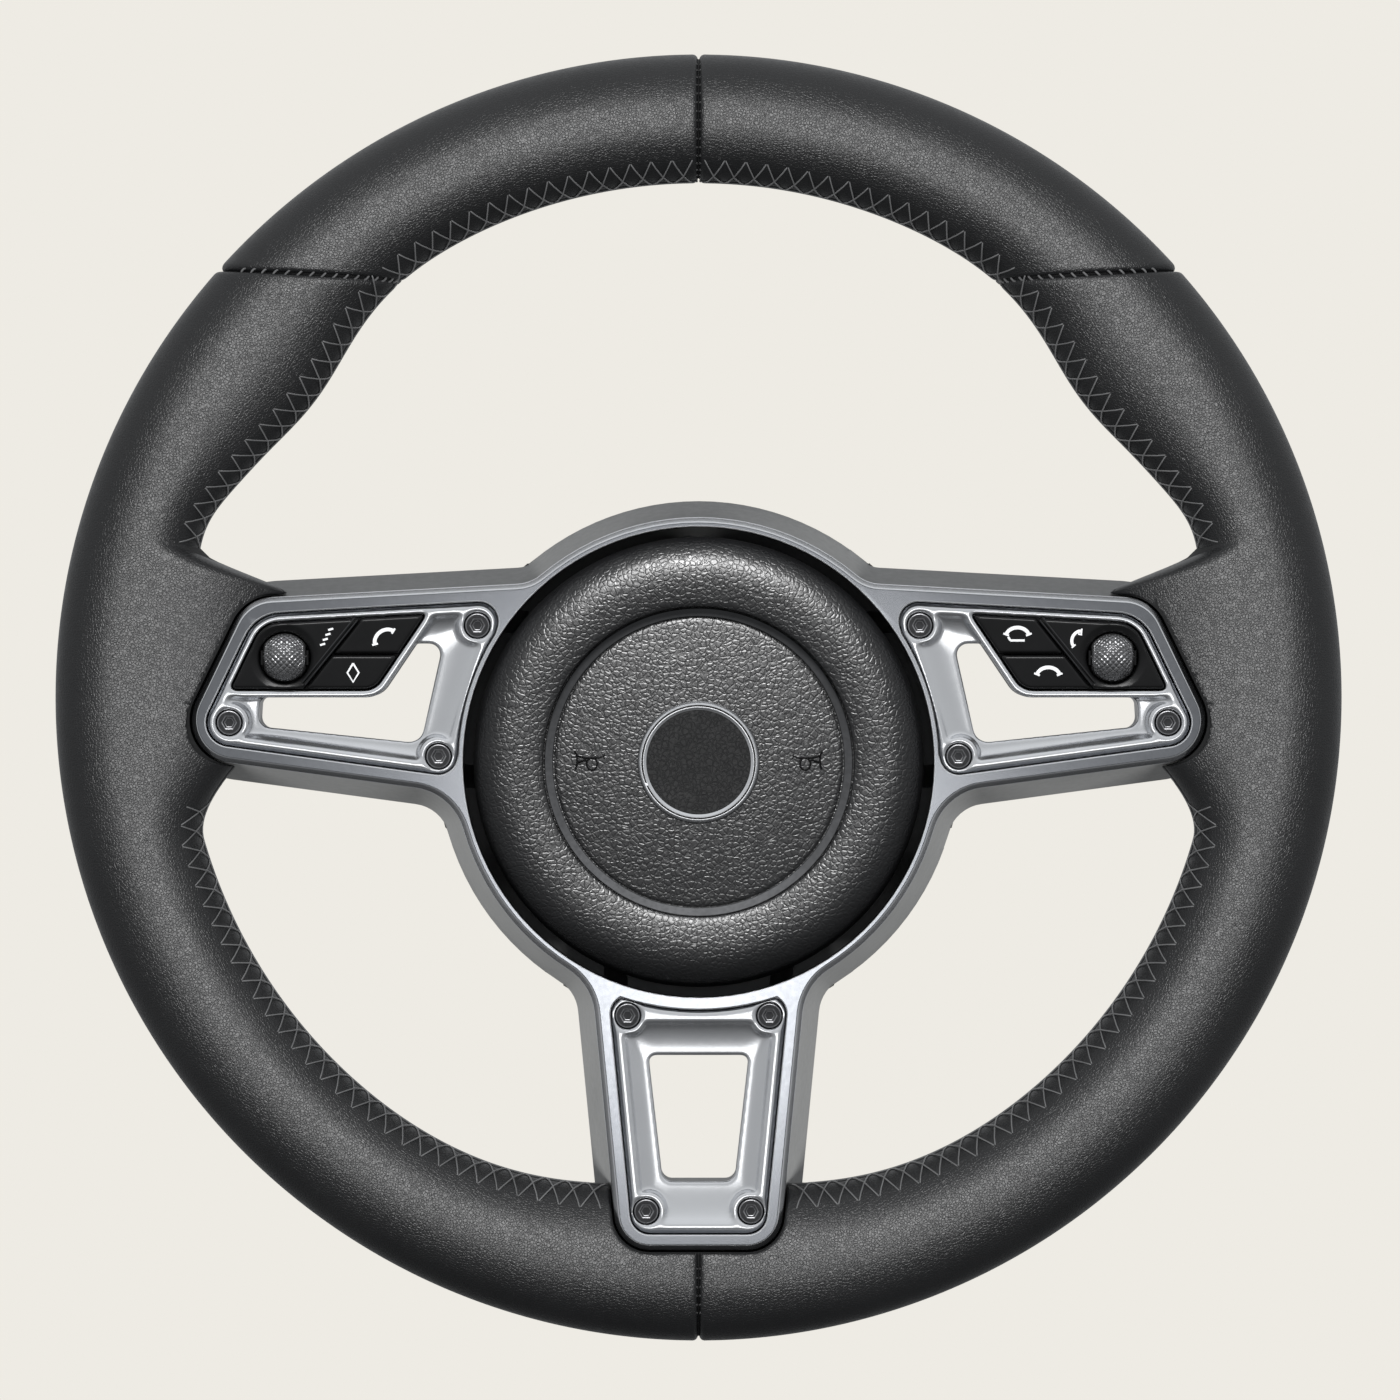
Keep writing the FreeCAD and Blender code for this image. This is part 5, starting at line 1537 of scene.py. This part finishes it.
@dataclass
class Studio:
    """Pale room, soft lights all round and the camera straight in front."""

    camera_distance: float = 2.5
    rim_plane: float = -0.052
    frame_width: float = 0.392
    camera_x: float = 0.0004
    camera_z: float = -0.0007
    sensor_width: float = 36.0
    view_end: float = 20.0
    floor_level: float = -0.6
    floor_half: float = 1.5
    wall: Colour = (0.855, 0.831, 0.776)
    ambient: Colour = (0.96, 0.98, 1.0)
    ambient_low: float = 0.10
    ambient_high: float = 0.80
    ambient_reach: float = 0.9
    lamps: tuple[Lamp, ...] = (
        Lamp("rim_light", (0.0, -2.6, 0.36), (1.25, 1.25), 65.0, (LEATHER, THREAD, WHITE_PRINT)),
        Lamp("metal_light", (0.0, -2.6, -0.46), (1.6, 0.70), 9.0, (INSERT_METAL,)),
        Lamp("frame_light", (0.0, -2.6, -0.11), (0.20, 0.26), 1.35, (FRAME_METAL_PAINTED_DARK,)),
        Lamp("pad_light", (0.0, -2.0, 1.35), (0.8, 0.5), 132.0, (PAD_PLASTIC, BAND_METAL)),
        Lamp("pad_fill", (0.0, -2.5, 0.52), (0.7, 0.30), 11.0, (PAD_PLASTIC,)),
        Lamp("cover_light_left", (-1.7, -1.6, -0.45), (1.0, 0.2), 85.0, (COVER_PLASTIC,)),
        Lamp("cover_light_right", (1.7, -1.6, -0.45), (1.0, 0.2), 85.0, (COVER_PLASTIC,)),
        Lamp(
            "switch_light", (0.0, -1.5, 1.25), (1.1, 0.7), 24.0,
            (SWITCH_PLASTIC, ROLLER_RUBBER, DARK_SCREW),
        ),
    )

    def world(self) -> None:
        """Sets the wall's colour for the camera and a dimmer grey for the light."""
        world = bpy.data.worlds.new("studio")
        bpy.context.scene.world = world
        world.use_nodes = True
        nodes = world.node_tree.nodes
        links = world.node_tree.links
        seen = nodes["Background"]
        seen.inputs["Color"].default_value = (*self.wall, 1)
        lit = nodes.new("ShaderNodeBackground")
        lit.inputs["Color"].default_value = (*self.ambient, 1)
        way = nodes.new("ShaderNodeSeparateXYZ")
        links.new(nodes.new("ShaderNodeTexCoord").outputs["Generated"], way.inputs["Vector"])
        shade = nodes.new("ShaderNodeMapRange")
        for name, value in (
            ("From Min", -self.ambient_reach), ("From Max", self.ambient_reach),
            ("To Min", self.ambient_low), ("To Max", self.ambient_high),
        ):
            shade.inputs[name].default_value = value
        links.new(way.outputs["Z"], shade.inputs["Value"])
        links.new(shade.outputs["Result"], lit.inputs["Strength"])
        path = nodes.new("ShaderNodeLightPath")
        mix = nodes.new("ShaderNodeMixShader")
        links.new(path.outputs["Is Camera Ray"], mix.inputs[0])
        links.new(lit.outputs[0], mix.inputs[1])
        links.new(seen.outputs[0], mix.inputs[2])
        links.new(mix.outputs[0], nodes["World Output"].inputs["Surface"])

    def area(self, lamp: Lamp) -> None:
        """Adds a soft box that faces the wheel.

        Args:
            lamp: The soft box.
        """
        light = bpy.data.lights.new(lamp.name, "AREA")
        light.shape = "RECTANGLE"
        light.size, light.size_y = lamp.size
        light.energy = lamp.power
        box = linked(lamp.name, light)
        box.location = lamp.place
        aim = Vector((0.0, self.rim_plane, 0.0)) - Vector(lamp.place)
        box.rotation_euler = aim.to_track_quat("-Z", "Y").to_euler()
        names = {finish.name for finish in lamp.lit}
        receivers = bpy.data.collections.new(f"{lamp.name}_receivers")
        for piece in bpy.context.scene.objects:
            if piece.type == "MESH" and piece.data.materials and piece.data.materials[0].name in names:
                receivers.objects.link(piece)
        box.light_linking.receiver_collection = receivers
        log.info("%s lights %d pieces", lamp.name, len(receivers.objects))

    def floor(self) -> None:
        """Lays the pale floor, which throws no light on the wheel."""
        bm = bmesh.new()
        bmesh.ops.create_grid(bm, x_segments=2, y_segments=2, size=self.floor_half)
        bmesh.ops.translate(bm, vec=(0, 0, self.floor_level), verts=bm.verts)
        mesh = mesh_of(bm, "floor")
        mesh.materials.append(PALE_FLOOR.material())
        ground = linked("floor", mesh)
        ground.visible_diffuse = False
        ground.visible_glossy = False
        ground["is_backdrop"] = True

    def camera(self) -> None:
        """Sets the camera straight in front of the wheel."""
        camera = bpy.data.cameras.new("camera")
        camera.sensor_width = self.sensor_width
        camera.lens = self.sensor_width * self.camera_distance / self.frame_width
        camera.clip_end = self.view_end
        eye = linked("camera", camera)
        eye.location = (self.camera_x, self.rim_plane - self.camera_distance, self.camera_z)
        eye.rotation_euler = (math.radians(90), 0, 0)
        bpy.context.scene.camera = eye
        bpy.context.scene.view_settings.view_transform = "Standard"

    def build(self) -> None:
        """Builds the room, the lights and the camera."""
        self.world()
        self.floor()
        for lamp in self.lamps:
            self.area(lamp)
        self.camera()


def write_size() -> None:
    """Gathers the CAD box and the dressed box as plain lists."""
    boxes = {"cad": CAD_BOX, "visual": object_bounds()}
    plain = {name: [list(corner) for corner in box] for name, box in boxes.items()}


def main() -> None:
    """Builds every sub-assembly in order."""
    logging.basicConfig(level=logging.INFO, format="%(name)s %(message)s")
    LeatherRim().build()
    Stitching().build()
    Spokes().build()
    RearCover().build()
    HornPad().build()
    SwitchPack(Side.LEFT, LEFT_SIGNS).build()
    SwitchPack(Side.RIGHT, RIGHT_SIGNS).build()
    InnerWorks().build()
    Studio().build()
    write_size()


if __name__ == "__main__":
    main()
